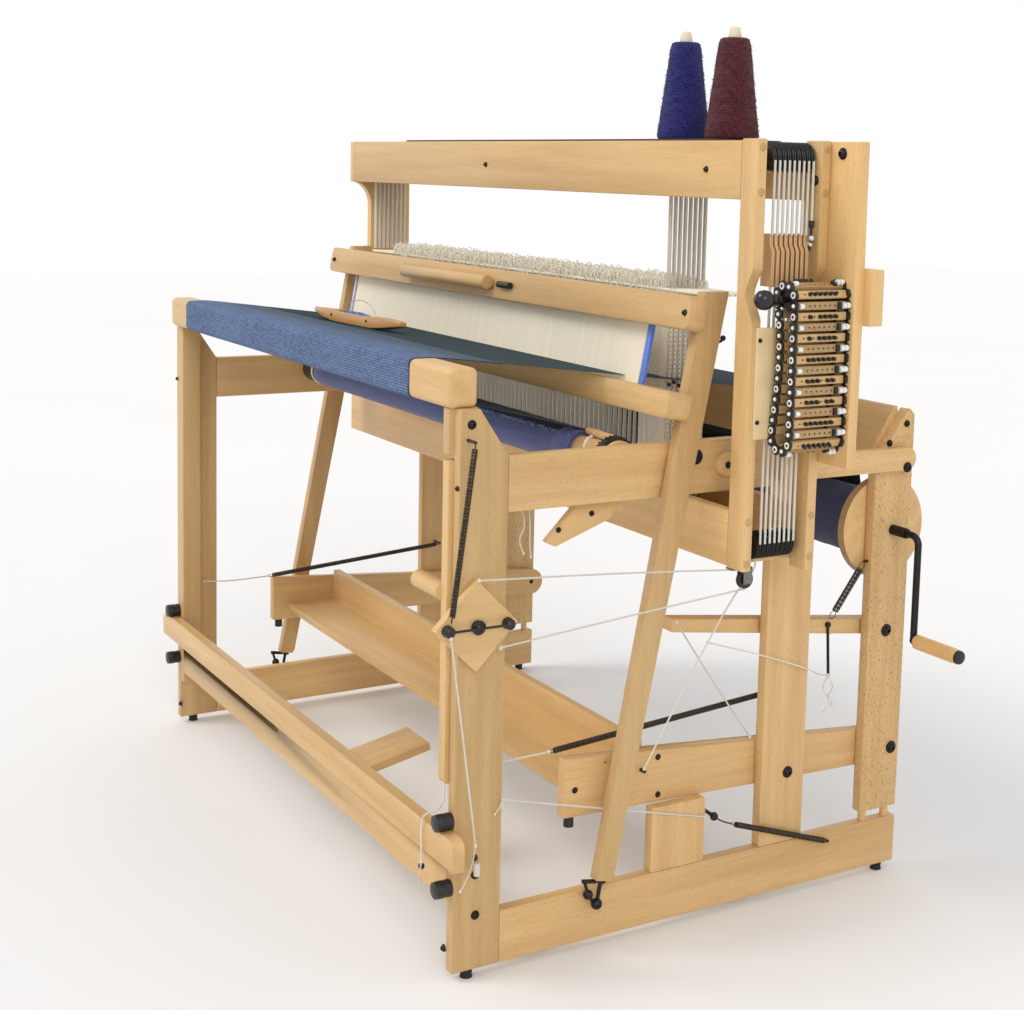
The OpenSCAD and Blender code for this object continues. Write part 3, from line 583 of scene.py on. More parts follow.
def lathe(bm, profile, centre, axis, index=0, steps=32):
    stamp(bm, turned(profile, steps), facing(centre, axis), index)


def toothed(bm, r, low, high, teeth, depth, centre, axis, index):
    """A wheel with pointed teeth. Its gaps reach down to a share of its radius."""
    disc = bmesh.new()
    made = bmesh.ops.create_cone(disc, cap_ends=True, segments=teeth * 2, radius1=r, radius2=r,
                                 depth=high - low)["verts"]
    for v in made:
        if round(math.atan2(v.co.y, v.co.x) / (math.pi / teeth)) % 2:
            v.co.x *= depth
            v.co.y *= depth
    stamp(bm, as_mesh(disc), facing(Vector(centre) + Vector(axis) * (low + high) / 2, axis), index)


def span(bm, grid, index):
    """Faces between the rows of a grid of corners."""
    for left, right in zip(grid, grid[1:]):
        for k in range(len(left) - 1):
            face = bm.faces.new((left[k], right[k], right[k + 1], left[k + 1]))
            face.material_index = index


def length_of(points):
    return sum((Vector(b) - Vector(a)).length for a, b in zip(points, points[1:]))


def tube(bm, points, r, index=0, smooth=True, sides=1, steps=6):
    """A round cord or wire along points. Its UV runs along it in metres and round it in turns."""
    curve = bpy.data.curves.new("route", "CURVE")
    curve.dimensions = "3D"
    curve.bevel_depth = r
    curve.bevel_resolution = sides
    curve.resolution_u = steps
    curve.use_fill_caps = True
    line = curve.splines.new("BEZIER" if smooth else "POLY")
    knots = line.bezier_points if smooth else line.points
    knots.add(len(points) - 1)
    for knot, point in zip(knots, points):
        if smooth:
            knot.co = point
            knot.handle_left_type = knot.handle_right_type = "AUTO"
        else:
            knot.co = (*point, 1)
    holder = bpy.data.objects.new("route", curve)
    bpy.context.scene.collection.objects.link(holder)
    bpy.context.view_layer.update()
    mesh = bpy.data.meshes.new_from_object(holder.evaluated_get(
        bpy.context.evaluated_depsgraph_get()))
    reach = length_of(points) * MM
    for corner in mesh.uv_layers[0].data:
        corner.uv = (corner.uv[1] * reach, corner.uv[0])
    bpy.data.objects.remove(holder)
    bpy.data.curves.remove(curve)
    stamp(bm, mesh, index=index)
    bpy.data.meshes.remove(mesh)


def piece(name, bm, body, materials, stands_for=(), sharp=38, placed=False):
    """Makes a shape a piece that rides on a body, or on none if body is None."""
    if not placed:
        bmesh.ops.transform(bm, matrix=TO_ROW, verts=bm.verts)
    for edge in bm.edges:
        edge.smooth = not (len(edge.link_faces) == 2
                           and edge.calc_face_angle(0) > math.radians(sharp))
    for face in bm.faces:
        face.smooth = True
    mesh = as_mesh(bm, name)
    for material in materials:
        mesh.materials.append(material)
    made = bpy.data.objects.new(name, mesh)
    bpy.context.scene.collection.objects.link(made)
    if body:
        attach(made, body)
    if stands_for:
        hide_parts(*stands_for)
    return made


def body_of(node):
    return next(b for b, nodes in frame["record"]["behaviour"]["bodies"].items() if node in nodes)


def cleaned(node):
    """A copy of a CAD node whose flat faces are whole."""
    bm = bmesh.new()
    bm.from_mesh(frame["nodes"][node].data)
    bmesh.ops.remove_doubles(bm, verts=bm.verts, dist=0.00002)
    bmesh.ops.dissolve_limit(bm, angle_limit=math.radians(1), verts=bm.verts, edges=bm.edges)
    return bm


def eased(node, materials, choose=None, edge=None, shortest=14, slot="beech"):
    """A copy of a CAD node with its long outer edges rounded. choose gives a face's material."""
    bm = cleaned(node)
    for face in bm.faces:
        centre = face.calc_center_median() / MM - ORIGIN
        face.material_index = choose(centre) if choose else 0
    long_edges = [e for e in bm.edges if len(e.link_faces) == 2 and e.is_convex
                  and e.calc_length() > shortest * MM
                  and e.calc_face_angle(0) > math.radians(40)]
    soften(bm, long_edges, (edge or sizes().edge) * MM)
    piece(node + "_made", bm, body_of(node), materials, (node,), placed=True)


LEAN_SIN, LEAN_COS = math.sin(BEATER_LEAN), math.cos(BEATER_LEAN)


def lean(x, u, v):
    """A point of the beater's leaning frame: u is across a sword to the rear, v along it."""
    return Vector((x, BEATER_PIVOT[0] + u * LEAN_COS + v * LEAN_SIN,
                   BEATER_PIVOT[1] - u * LEAN_SIN + v * LEAN_COS))


def upright(point):
    """The u and v of a point on the beater."""
    y, z = point.y - BEATER_PIVOT[0], point.z - BEATER_PIVOT[1]
    return y * LEAN_COS - z * LEAN_SIN, y * LEAN_SIN + z * LEAN_COS


# ---- Camera, light and floor ----

class LOOM_OT_camera(bpy.types.Operator):
    """Sets the camera in front of the loom, to its right"""
    bl_idname = "loom.camera"
    bl_label = "Camera"

    PLACE = (2.6135, -1.4979, 1.2005)
    YAW, PITCH, ROLL = (math.radians(a) for a in (58.83, 6.84, 1.44))
    LENS, SHIFT = 57.0, (-0.0509, -0.1379)
    REACH = 60

    def execute(self, context):
        level = Vector((math.cos(self.YAW), math.sin(self.YAW), 0))
        ahead = Vector((-math.sin(self.YAW), math.cos(self.YAW), 0)) * math.cos(self.PITCH)
        ahead.z = -math.sin(self.PITCH)
        up = level.cross(ahead)
        right = level * math.cos(self.ROLL) + up * math.sin(self.ROLL)
        up = up * math.cos(self.ROLL) - level * math.sin(self.ROLL)
        data = bpy.data.cameras.new("camera")
        data.lens, data.clip_end = self.LENS, self.REACH
        data.shift_x, data.shift_y = self.SHIFT
        camera = bpy.data.objects.new("camera", data)
        turn = Matrix((right, up, -ahead)).transposed().to_4x4()
        camera.matrix_world = Matrix.Translation(self.PLACE) @ turn
        context.scene.collection.objects.link(camera)
        context.scene.camera = camera
        return {"FINISHED"}


class LOOM_OT_stage(bpy.types.Operator):
    """Lays a pale floor and sets soft studio light"""
    bl_idname = "loom.stage"
    bl_label = "Stage"

    FLOOR_HALF = 14
    SEEN_LIGHT, FILL_LIGHT = 1.0, 0.76
    LAMPS = (("key", (-0.3, -0.75, 0.8), 1.05, 24, 0.94),
             ("side", (0.85, -0.35, 0.55), 0.7, 30, 0.97))

    def execute(self, context):
        bm = bmesh.new()
        bmesh.ops.create_grid(bm, x_segments=1, y_segments=1, size=self.FLOOR_HALF)
        floor = bpy.data.objects.new("floor", as_mesh(bm, "floor"))
        context.scene.collection.objects.link(floor)

        def pale(t, where):
            return {"Base Color": t.mix(t.noise(where["Object"], 0.6, 2), (0.86, 0.86, 0.855),
                                        (0.9, 0.9, 0.895)), "Roughness": 0.7}
        floor.data.materials.append(finish("floor_paint", pale))
        self.studio(context.scene)
        for name, towards, power, width, warmth in self.LAMPS:
            lamp = bpy.data.lights.new(name, "SUN")
            lamp.energy, lamp.angle = power, math.radians(width)
            lamp.color = (1, (1 + warmth) / 2, warmth)
            holder = bpy.data.objects.new(name, lamp)
            holder.rotation_mode = "QUATERNION"
            holder.rotation_quaternion = Vector(towards).to_track_quat("Z", "Y")
            context.scene.collection.objects.link(holder)
        context.scene.view_settings.view_transform = "Standard"
        return {"FINISHED"}

    def studio(self, scene):
        """A white world, a little dimmer as a light than where it is seen or mirrored."""
        world = bpy.data.worlds.new("studio")
        scene.world = world
        world.use_nodes = True
        t = Tree(world.node_tree)
        ray = t.add("LightPath").outputs
        seen = t.math("MAXIMUM", ray["Is Camera Ray"],
                      t.math("MAXIMUM", ray["Is Glossy Ray"], ray["Is Transmission Ray"]))
        back = world.node_tree.nodes["Background"].inputs
        t.fill(back["Color"], (1, 1, 1))
        t.fill(back["Strength"], t.math("MULTIPLY_ADD", seen, self.SEEN_LIGHT - self.FILL_LIGHT,
                                        self.FILL_LIGHT))


# ---- Cords ----

# both ends and the bends of each cord between levers
TIE_CORDS = (
    ((674, -24, 535), (670, 2, 370), (664, 27, 214)),
    ((664, 25, 612), (690, 250, 604), (720, 459, 594.4)),
    ((664, 62, 508), (692, 250, 536), (720, 459, 563.6)),
    ((634, 342, 266), (668, 432, 468), (692, 462, 545), (718, 480, 598), (720, 478, 612.9)),
    ((616, 0, 299.4), (616, -8, 262), (600, -24, 248), (590, -24, 232), (590, -24, 172)),
    ((645, 81.1, 268), (648, 300, 211), (648, 474, 166)),
    ((625.4, 50, 306), (604, 100, 307), (600, 187, 309)),
    ((-625.4, 50, 306), (-604, 100, 307), (-600, 187, 309)),
    ((668, 432, 468), (652, 560, 424), (650, 655, 388), (628, 700, 366), (625.4, 718, 362)),
    ((620.9, 404, 492), (620.9, 480, 385), (620.9, 560, 278)),
)
# tails left over at the knots, and the loops below the brake spring
CORD_TAILS = (
    ((664, 27, 214), (668, 20, 190), (672, 8, 168), (666, 2, 150)),
    ((625.4, 718, 362), (634, 722, 344), (630, 716, 322), (637, 726, 306)),
    ((625.4, 718, 362), (622, 712, 336), (632, 724, 318), (626, 712, 300)),
    ((590, -24, 172), (598, -30, 158), (590, -26, 138), (602, -34, 120)),
    ((612, 122, 700), (614, 126, 672), (608, 122, 650), (612, 127, 630)),
    ((610, 136, 700), (607, 140, 668), (611, 138, 642), (608, 142, 622)),
    ((645, 81.1, 268), (652, 74, 262), (650, 66, 250)),
    ((720, 478, 612.9), (728, 486, 630), (742, 490, 660)),
)


def knot(bm, centre, r):
    """A small wound knot."""
    for lift in (-0.5, 0.5):
        ball(bm, Vector(centre) + Vector((0, 0, lift * r)), r, 0, (1.1, 1.1, 0.75), 8)


class LOOM_OT_tie_cords(bpy.types.Operator):
    """Makes the cords between the levers, with their knots, loops and beads"""
    bl_idname = "loom.tie_cords"
    bl_label = "Tie cords"

    KNOT_R, TAIL_KNOT_R, TAIL_SHARE = 2.4, 1.6, 0.8

    def execute(self, context):
        r = sizes().cord
        bm = bmesh.new()
        for route in TIE_CORDS:
            tube(bm, route, r)
            for end in (route[0], route[-1]):
                knot(bm, end, self.KNOT_R)
        for route in CORD_TAILS:
            tube(bm, route, r * self.TAIL_SHARE)
            knot(bm, route[-1], self.TAIL_KNOT_R)
        ball(bm, (664, 27, 196), 4, 1, (1, 1, 1.3))
        rod(bm, (664, 30, 188), (664, 30, 168), 5, index=2, rim=1)
        ball(bm, (590, -24, 165), 5, 1)
        nylon = cord_skin("white_nylon", (232, 228, 218), 20, 0.45)
        piece("tie_cords", bm, "frame", (cord_skin(), plastic(), nylon), ("cords",))
        return {"FINISHED"}


class LOOM_OT_harness(bpy.types.Operator):
    """Strings the shafts and jacks: each cord runs upright between its shaft or jack and the castle
    """
    bl_idname = "loom.harness"
    bl_label = "Harness cords"

    CORD_LEFT, CORD_LOW_LEFT, CORD_RIGHT = -690, -560, 470
    SHAFT_TOP, SHAFT_LOW = 1018, 702
    JACK_TOP, JACK_LOW = 1112, 1033
    PAIR_HALF = 2
    TUCK = 4

    def strung(self, name, body, columns, low, high, moving_end, sides=(0,)):
        """Upright cords between a body and the frame, at each of the columns."""
        bm = bmesh.new()
        for x, y in columns:
            for side in sides:
                tube(bm, [(x + side, y, low), (x + side, y, high)], sizes().harness, smooth=False)
        made = piece(name, bm, None, (harness_skin(),))
        ends = [in_row((*columns[0], z)) for z in (low, high)]
        if moving_end == "high":
            ends.reverse()
        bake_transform(made)

    def execute(self, context):
        reach = PULLEY_R + sizes().harness
        for i in range(1, SHAFTS + 1):
            shaft, jack = f"shaft_{i}", f"jack_{i}"
            above, below = ([(x, shaft_y(i)) for x in (left, self.CORD_RIGHT)]
                            for left in (self.CORD_LEFT, self.CORD_LOW_LEFT))
            self.strung(shaft + "_cords_up", shaft, above, self.SHAFT_TOP - self.TUCK,
                        CASTLE_TOP - 12, "low", (-self.PAIR_HALF, self.PAIR_HALF))
            self.strung(shaft + "_cords_down", shaft, below, LOWER_BOX_LOW + 10,
                        self.SHAFT_LOW + self.TUCK, "high")
            column = [(PULLEY_X + reach + 1, jack_y(i))]
            self.strung(jack + "_cord_up", jack, column, self.JACK_TOP - 2,
                        TOP_PULLEY_Z - self.TUCK, "low")
            self.strung(jack + "_cord_down", jack, column, LOW_PULLEY_Z + self.TUCK,
                        self.JACK_LOW + 2, "high")
        self.pulley_cords(reach)
        return {"FINISHED"}

    def pulley_cords(self, reach):
        """Black bands over the pulleys, and the ninth cord to its toggle and beads."""
        bm = bmesh.new()
        tops = [(jack_y(i), TOP_PULLEY_Z, 1) for i in range(1, SHAFTS + 2)]
        lows = [(jack_y(i), LOW_PULLEY_Z, -1) for i in range(1, SHAFTS + 1)]
        for y, centre_z, side in tops + lows:
            angles = [math.pi * k / 12 for k in range(9)]
            for shift in (-2, 2):
                edge = [(PULLEY_X + reach * math.cos(a), y + shift,
                         centre_z + side * reach * math.sin(a)) for a in angles]
                tail = (PULLEY_X + reach, y + shift * 0.6, centre_z - side * 22)
                tube(bm, [tail, *edge], 1.5, 1, smooth=False)
        x, y = PULLEY_X + reach + 1, jack_y(SHAFTS + 1)
        tube(bm, [(x, y, TOP_PULLEY_Z - self.TUCK), (x + 1, y, 1130)], sizes().harness,
             smooth=False)
        rod(bm, (x + 1, y, 1132), (x + 2, y - 1, 1122), 4.5, index=1, rim=1)
        rod(bm, (x + 2, y - 1, 1122), (x + 3, y - 2, 1098), 2.2, index=1)
        ball(bm, (x + 6, y - 3, 1106), 4.2, 2)
        rod(bm, (x - 1, y - 3, 1098), (x + 7, y - 4, 1096), 2.6, index=2, rim=0.6)
        rod(bm, (x + 3, y - 3, 1096), (x + 2, y - 4, 1086), 2.4, index=1)
        beads = plastic("white_beads", (226, 222, 208), 0.3)
        piece("pulley_cords", bm, "frame", (harness_skin(), plastic(), beads),
              ("harness_cords",))


# ---- Woodwork ----

BAND_Z, BAND_HALF = 921, 8


def pin_part(c):
    return 1 if abs(c.x) > OUTER + 0.2 else 0


def rear_post_part(c):
    if abs(c.x) > OUTER + 0.2:
        return 1
    return 2 if c.z < 113.8 else 3 if abs(c.x) < INNER - 0.2 else 0


def knob_or_board(c):
    at_knob = abs(abs(c.x) - OUTER + 10) < 12.7 and c.y < -0.1
    return 1 if at_knob and (abs(c.z - 247.5) < 12.7 or abs(c.z - 145) < 12.7) else 0


def treadle_part(c):
    x = abs(c.x)
    if x > 625.2 or (c.z < 206.8 and c.y < 230 and x > 600):
        return 2
    return 1 if x > 604.5 else 0


def rail_part(c):
    u, v = upright(c)
    return 1 if 99.5 < c.x < 143.5 and u < -48.2 and abs(v - BAND_Z) < BAND_HALF else 0


class LOOM_OT_woodwork(bpy.types.Operator):
    """Rounds the boards' edges and gives every board beech grain along its length"""
    bl_idname = "loom.woodwork"
    bl_label = "Woodwork"

    BEAM_END, BEAM_STEPS = 7, 4

    def execute(self, context):
        wood = {axis: beech(axis) for axis in "xyz"}
        # painted shade: darker copies of the beech for the posts, the back beam and the beater's
        # swords, which stand in shade
        painted_shade_wood = {axis: beech(axis, 0.35, 0.16, "_painted_shade") for axis in "xz"}
        # painted light: paler copies of the beech for the lower box, the castle's end panel and the
        # dobby board
        pale = {axis: beech(axis, 0.3, -0.12, "_painted_light") for axis in "xz"}
        flecked = beech("z", 1.2, 0.02, "_flecked")
        metal, black = steel(), plastic()
        # painted shade: the beater's rails take a slightly darker copy of the beech
        rail_painted_shade = beech("x", 0.35, 0.07, "_rail")
        paired = [(side + part, *look) for side in ("left", "right") for part, *look in (
            ("_bottom_rail", (wood["y"], metal), pin_part), ("_upper_rail", (wood["y"],)),
            ("_leg", (wood["z"],)),
            ("_rear_post", (flecked, wood["y"], wood["z"], metal), rear_post_part))]
        rows = (
            ("left_post", (painted_shade_wood["z"],)), ("right_post", (painted_shade_wood["z"], metal), pin_part), *paired,
            ("back_beam", (painted_shade_wood["x"], flecked), lambda c: 1 if abs(c.x) > INNER - 0.2 else 0),
            ("front_boards", (wood["x"], black), knob_or_board),
            ("castle_boards", (wood["x"],)), ("lower_box", (pale["x"],)),
            ("castle_uprights", (wood["z"],), None, 2.8), ("castle_end_panel", (pale["z"],)),
            ("dobby_board", (pale["z"],)),
            ("rail_blocks", (wood["z"], wood["y"], metal),
             lambda c: 1 if c.z > 500 else 2 if c.y > 455.2 else 0),
            ("beater_swords", (painted_shade_wood["z"], metal), lambda c: 1 if upright(c)[1] < 38.8 else 0),
            ("beater_rails", (rail_painted_shade, black), rail_part, 3, 1.2),
            ("treadle", (wood["x"], wood["y"], black), treadle_part),
            ("hand_lever", (wood["z"], wood["x"]), lambda c: 1 if c.x < 606.5 else 0),
            ("tension_plate", (beech("y", 0.15, 0, "_plate"), black),
             lambda c: 1 if c.x > 660.5 else 0, 1),
            ("brake_lever", (wood["y"], metal), lambda c: 1 if c.x > 620.2 else 0),
            ("foot_pedal", (wood["y"], wood["z"]), lambda c: 1 if c.z < 172 else 0))
        for row in rows:
            eased(*row)
        eased("cover_plate", (plain_board(),), edge=0.6, slot="cover_board")
        for i in range(1, SHAFTS + 1):
            eased(f"jack_{i}", (jack_plywood(),), edge=0.5)
        # the front beam is rounded at its ends as well
        beam = cleaned("breast_beam")
        ends = [f for f in beam.faces if abs(f.normal.x) > 0.9]
        soften(beam, {e for f in ends for e in f.edges}, self.BEAM_END * MM, self.BEAM_STEPS)
        piece("breast_beam_made", beam, "frame", (wood["x"],), ("breast_beam",),
              placed=True)
        return {"FINISHED"}


class LOOM_OT_tray(bpy.types.Operator):
    """Lays the dark tray on the castle's top"""
    bl_idname = "loom.tray"
    bl_label = "Tray"

    def execute(self, context):
        eased("castle_tray", (plastic("dark_tray", (58, 34, 30), 0.5),), edge=0.8,
              slot="black_plastic")
        return {"FINISHED"}


# ---- Fittings ----

def bolt(bm, centre, axis, washer, head):
    """A domed bolt with a hexagon socket, on its washer."""
    lathe(bm, ((0, 0), (washer, 0), (washer, 0.8), (washer * 0.94, 1.6), (head * 1.15, 1.6),
               (head, 2.4), (head * 0.9, head * 0.55 + 1.8), (head * 0.6, head * 0.75 + 2),
               (head * 0.42, head * 0.8 + 2), (head * 0.4, 2.2), (0, 2.2)),
          centre, axis, 0, 24)


class LOOM_OT_bolts(bpy.types.Operator):
    """Sets bolts, washers, plugs and the levers' knobs"""
    bl_idname = "loom.bolts"
    bl_label = "Bolts"

    # where each bolt stands, the way it faces, and the radii of its washer and head
    PAIRED = tuple(((OUTER, y, z), TO_X, washer, head) for y, z, washer, head in (
        (18, 836, 7, 4.8), (37, 161, 7, 4.5), (38, 98, 7, 4.5), (622, 216, 10, 6),
        (849, 221, 11, 6.5), (825, 432, 11, 6.5), (849, 788, 6, 4), (812, 757, 6, 4))) + (
        ((OUTER + 18, 838, 717), TO_X, 9, 5.5), ((641, 0, 744), FORWARD, 4, 3),
        ((622, 0, 45), FORWARD, 6, 4.4))
    SINGLE = (
        ((-88, CASTLE_FRONT, 1206), FORWARD, 5, 3.6), ((627, CASTLE_FRONT, 1206), FORWARD, 5, 3.6),
        ((780, CASTLE_BACK, 1234), FORWARD, 9, 6), ((740, CASTLE_BACK - 18, 1193), FORWARD, 8, 5),
        ((757, CASTLE_FRONT + 15, 954), TO_X, 3.4, 2.4),
        ((757, CASTLE_FRONT + 15, 830), TO_X, 3.4, 2.4),
        ((INNER, 236, 684), TO_X, 4.4, 3), ((INNER, 178, 664), TO_X, 4.4, 3))
    # turned shapes, as pairs of radius and height
    PLUG = ((0, 0), (6, 0), (6, 0.6), (5.1, 1.2), (0, 1.3))
    WHEEL = ((0, 0), (19, 0), (19, 10), (17.5, 12), (6, 12), (5.5, 9), (0, 9))
    HUB = ((0, 0), (5.4, 0), (5.4, 11), (4.4, 13), (0, 13))
    STOP = ((0, 0), (12, 0), (12, 2.2), (11, 3), (0, 3))
    FOOT = ((0, 0), (9.5, 0), (9.5, 2), (8.4, 4), (9.2, 9), (9.2, 13), (0, 13))
    NUT = ((0, 0), (8, 0), (8, 3), (0, 3))
    PLATE_KNOB = ((0, 0), (8.6, 0), (9, 3), (7, 10), (7.6, 13), (5, 15.5), (0, 16.2))
    FRONT_KNOB = ((0, 0), (12.6, 0), (13, 6), (12, 9), (13, 12), (13, 22), (11, 26), (6, 27.5),
                  (0, 27.5))

    def execute(self, context):
        self.frame_fittings()
        self.beater_fittings()
        self.lever_fittings()
        return {"FINISHED"}

    def frame_fittings(self):
        bm = bmesh.new()
        for (x, y, z), axis, washer, head in self.PAIRED:
            for side in (-1, 1):
                bolt(bm, (side * x, y, z), (side * axis[0], axis[1], 0), washer, head)
        for row in self.SINGLE:
            bolt(bm, *row)
        for y in (CASTLE_FRONT + 9, CASTLE_BACK - 9):
            for z in (1240, 1174, 612, 677):
                lathe(bm, self.PLUG, (754, y, z), TO_X, 1, 24)
        lathe(bm, self.WHEEL, (OUTER, 467, 747), TO_X, 2, 48)
        lathe(bm, self.HUB, (OUTER + 2, 467, 747), TO_X, 0, 24)
        lathe(bm, self.STOP, (OUTER, 412, 762), TO_X, 0, 32)
        ball(bm, (649, 471, 169), 7, detail=14)
        skins = (steel(), beech("x", 0.2, 0.22, "_plug"), beech("x", 0.2, -0.15, "_wheel"))
        piece("bolts", bm, "frame", skins, ("fasteners",))

        bm = bmesh.new()
        for x in (-636, 636):
            for y in (30, 837):
                lathe(bm, self.FOOT, (x, y, 0), TO_Z)
        piece("rubber_feet", bm, "frame", (plastic("black_rubber", (22, 21, 21), 0.75),),
              ("feet",))

    def beater_fittings(self):
        bm = bmesh.new()
        for x in (-662, 675):
            bolt(bm, lean(x, -48, BAND_Z), lean(0, -1, 0) - lean(0, 0, 0), 5, 4)
        for x in (-660, 660):
            foot = lean(x, 0, 0)
            ball(bm, foot, 9, detail=16)
            rod(bm, foot, lean(x, 0, 39), 3.2)
            lathe(bm, self.NUT, lean(x, 0, 34), lean(0, 0, 1) - lean(0, 0, 0), steps=6)
            rod(bm, lean(x, -8, 36), lean(x, -34, 36), 3.4, rim=0.8)
            rod(bm, lean(x, -30, 36), lean(x, -20, 17), 2.6)
            ball(bm, lean(x, -19, 15), 8, detail=14)
        hook = [lean(660, u, v) for u, v in ((20, 888), (38, 888), (42, 894))]
        tube(bm, hook, 2.2)
        ball(bm, hook[-1], 4.6)
        piece("beater_fittings", bm, "beater", (steel(),))

    def lever_fittings(self):
        bm = bmesh.new()
        for side in (-1, 1):
            for y, z in ((220, 250), (374, 277), (376, 215)):
                rod(bm, (side * 624, y, z), (side * 625.6, y, z), 5.2, rim=0.4)
            rod(bm, (side * 624, 274, 286), (side * 625.4, 274, 286), 3, 1)
        piece("treadle_bolts", bm, "treadle", (steel(), beech("x", 0.2, 0.22, "_plug")))

        bm = bmesh.new()
        for y in (-24, 74):
            lathe(bm, self.PLATE_KNOB, (660.3, y, 543), TO_X, steps=20)
        bolt(bm, (666, 25, 543), TO_X, 11, 6)
        rod(bm, (673, -20, 543), (673, 70, 543), 1.6, sides=10)
        piece("tension_plate_knobs", bm, "tension_plate", (plastic(),))

        bm = bmesh.new()
        for x in (-636, 636):
            for z in (247.5, 145):
                lathe(bm, self.FRONT_KNOB, (x, 0, z), FORWARD, steps=24)
        piece("front_knobs", bm, "frame", (plastic(),))


# ---- Cloth and warp ----

def touch(p, centre, r, side):
    """Where a line from p touches a circle, in Y and Z."""
    d = Vector(centre) - Vector(p)
    angle = math.atan2(d.y, d.x) + side * math.asin(r / d.length)
    reach = math.sqrt(d.length ** 2 - r * r)
    return Vector(p) + reach * Vector((math.cos(angle), math.sin(angle)))


def arc(centre, r, first, last, count=8):
    angles = (math.radians(first + (last - first) * k / count) for k in range(count + 1))
    return [Vector(centre) + r * Vector((math.cos(a), math.sin(a))) for a in angles]


class LOOM_OT_cloth(bpy.types.Operator):
    """Weaves the cloth over the breast beam, and strings the warp behind it"""
    bl_idname = "loom.cloth"
    bl_label = "Cloth and warp"

    ROUND, LIFT = 10.6, 1
    NOSE_Y, REAR_Y = -5, 24
    THICK, CELLS = 1.1, 150
    RIPPLE, RIPPLE_REACH = 0.175, 60
    TURN_PITCH, TURN_R = 5.2, 0.65
    REST_Y, OVER_Y, BEND_LIFT = WEB_REAR - 6, 845.4, 0.9
    WARP_R, TAIL_SHARE = 57.8, 0.56

    def cloth_route(self):
        """Y and Z of the cloth from the fell forward, round the beam and down to its roll."""
        route = [Vector((y, web_z(y))) for y in (sizes().fell, 110, 80, 50)]
        route.append(Vector((self.REAR_Y, BREAST_TOP + self.LIFT)))
        route += arc((self.NOSE_Y, BREAST_TOP - 10), self.ROUND, 91, 180)
        route += arc((self.NOSE_Y, POST_TOP + 10), self.ROUND, 180, 270)
        route += arc((self.REAR_Y, POST_TOP + 10), self.ROUND, 270, 292, 3)
        route.append(touch(route[-1], CLOTH_AXIS, ROLL_R + 1.6, 1))
        return route

    def bent(self, route, ripple):
        """A grid bent along a route in Y and Z, from edge to edge of the web. Also its length."""
        lengths = [0]
        for a, b in zip(route, route[1:]):
            lengths.append(lengths[-1] + (b - a).length)
        bm = bmesh.new()
        bmesh.ops.create_grid(bm, x_segments=self.CELLS, y_segments=self.CELLS, size=1,
                              calc_uvs=True)
        uv = bm.loops.layers.uv.verify()
        bm.verts.index_update()
        place = {}
        for v in bm.verts:
            x = WEB_LEFT + (WEB_RIGHT - WEB_LEFT) * (v.co.x + 1) / 2
            s = lengths[-1] * (v.co.y + 1) / 2
            k = max(i for i, run in enumerate(lengths[:-1]) if run <= s + 1e-6)
            y, z = route[k].lerp(route[k + 1], (s - lengths[k]) / (lengths[k + 1] - lengths[k]))
            place[v.index] = (x * MM, s * MM)
            v.co = (x, y, z + ripple(x, s))
        for face in bm.faces:
            for corner in face.loops:
                corner[uv].uv = place[corner.vert.index]
        bmesh.ops.recalc_face_normals(bm, faces=bm.faces)
        return bm, lengths[-1]

    def execute(self, context):
        wobble = random.Random(4)
        waves = [(wobble.uniform(0.004, 0.03), wobble.uniform(0, 6)) for _ in range(5)]

        def ripple(x, s):
            near_fell = max(0, 1 - s / self.RIPPLE_REACH)
            return near_fell * self.RIPPLE * sum(math.sin(x * f + p) for f, p in waves)
        skin = woven("blue_cloth", colours().cloth, colours().cloth_ground, 0.0068, 0.0042)
        bm, length = self.bent(self.cloth_route(), ripple)
        # painted shade: the cloth's back, where it runs under the beam and down to its roll, takes a
        # much darker cloth
        for face in bm.faces:
            middle = face.calc_center_median()
            if middle.z < POST_TOP and middle.y > self.REAR_Y:
                face.material_index = 1
        shaded = woven("cloth_back_painted_shade", tint(46, 56, 78), tint(22, 26, 36), 0.0072, 0.0046)
        cloth = piece("cloth", bm, "frame", (skin, shaded), ("web",), sharp=80)
        wall = cloth.modifiers.new("thickness", "SOLIDIFY")
        wall.thickness, wall.offset = self.THICK * MM, 0
        self.selvedge()
        self.warp()
        return {"FINISHED"}

    def selvedge(self):
        """Dark turns of weft along both edges of the cloth."""
        turn = bmesh.new()
        tube(turn, [(-2, -2.4, 0), (1.4, -1.6, 0.5), (1.4, 1.6, 0.5), (-2, 2.4, 0)], self.TURN_R,
             sides=0, steps=3)
        turn = as_mesh(turn)
        route = self.cloth_route()
        bm = bmesh.new()
        for a, b in zip(route, route[1:]):
            tilt = Matrix.Rotation(math.atan2(b.y - a.y, b.x - a.x), 4, "X")
            count = max(1, round((b - a).length / self.TURN_PITCH))
            for k in range(count):
                y, z = a.lerp(b, (k + 0.5) / count)
                for x, mirror in ((WEB_RIGHT, 0), (WEB_LEFT, math.pi)):
                    stamp(bm, turn, Matrix.Translation((x, y, z)) @ tilt
                          @ Matrix.Rotation(mirror, 4, "Z"))
        piece("selvedge", bm, "frame", (thread_skin("selvedge_thread", tint(34, 42, 66)),))

    def warp(self):
        """Threads from the fell through the shafts' heddles, over the back beam to the roll."""
        given = sizes()
        skin = (thread_skin("navy_warp", colours().warp),)
        fell = (0, given.fell - 1, web_z(given.fell))
        rest = (0, self.REST_Y, BACK_TOP + 1.4)
        over = (self.OVER_Y, BACK_TOP + self.BEND_LIFT)
        bends = ((self.REST_Y, BACK_TOP + 1.2), (self.OVER_Y - 2, BACK_TOP + 1),
                 (self.OVER_Y, over[1] - 2), touch(over, WARP_AXIS, self.WARP_R, 1))
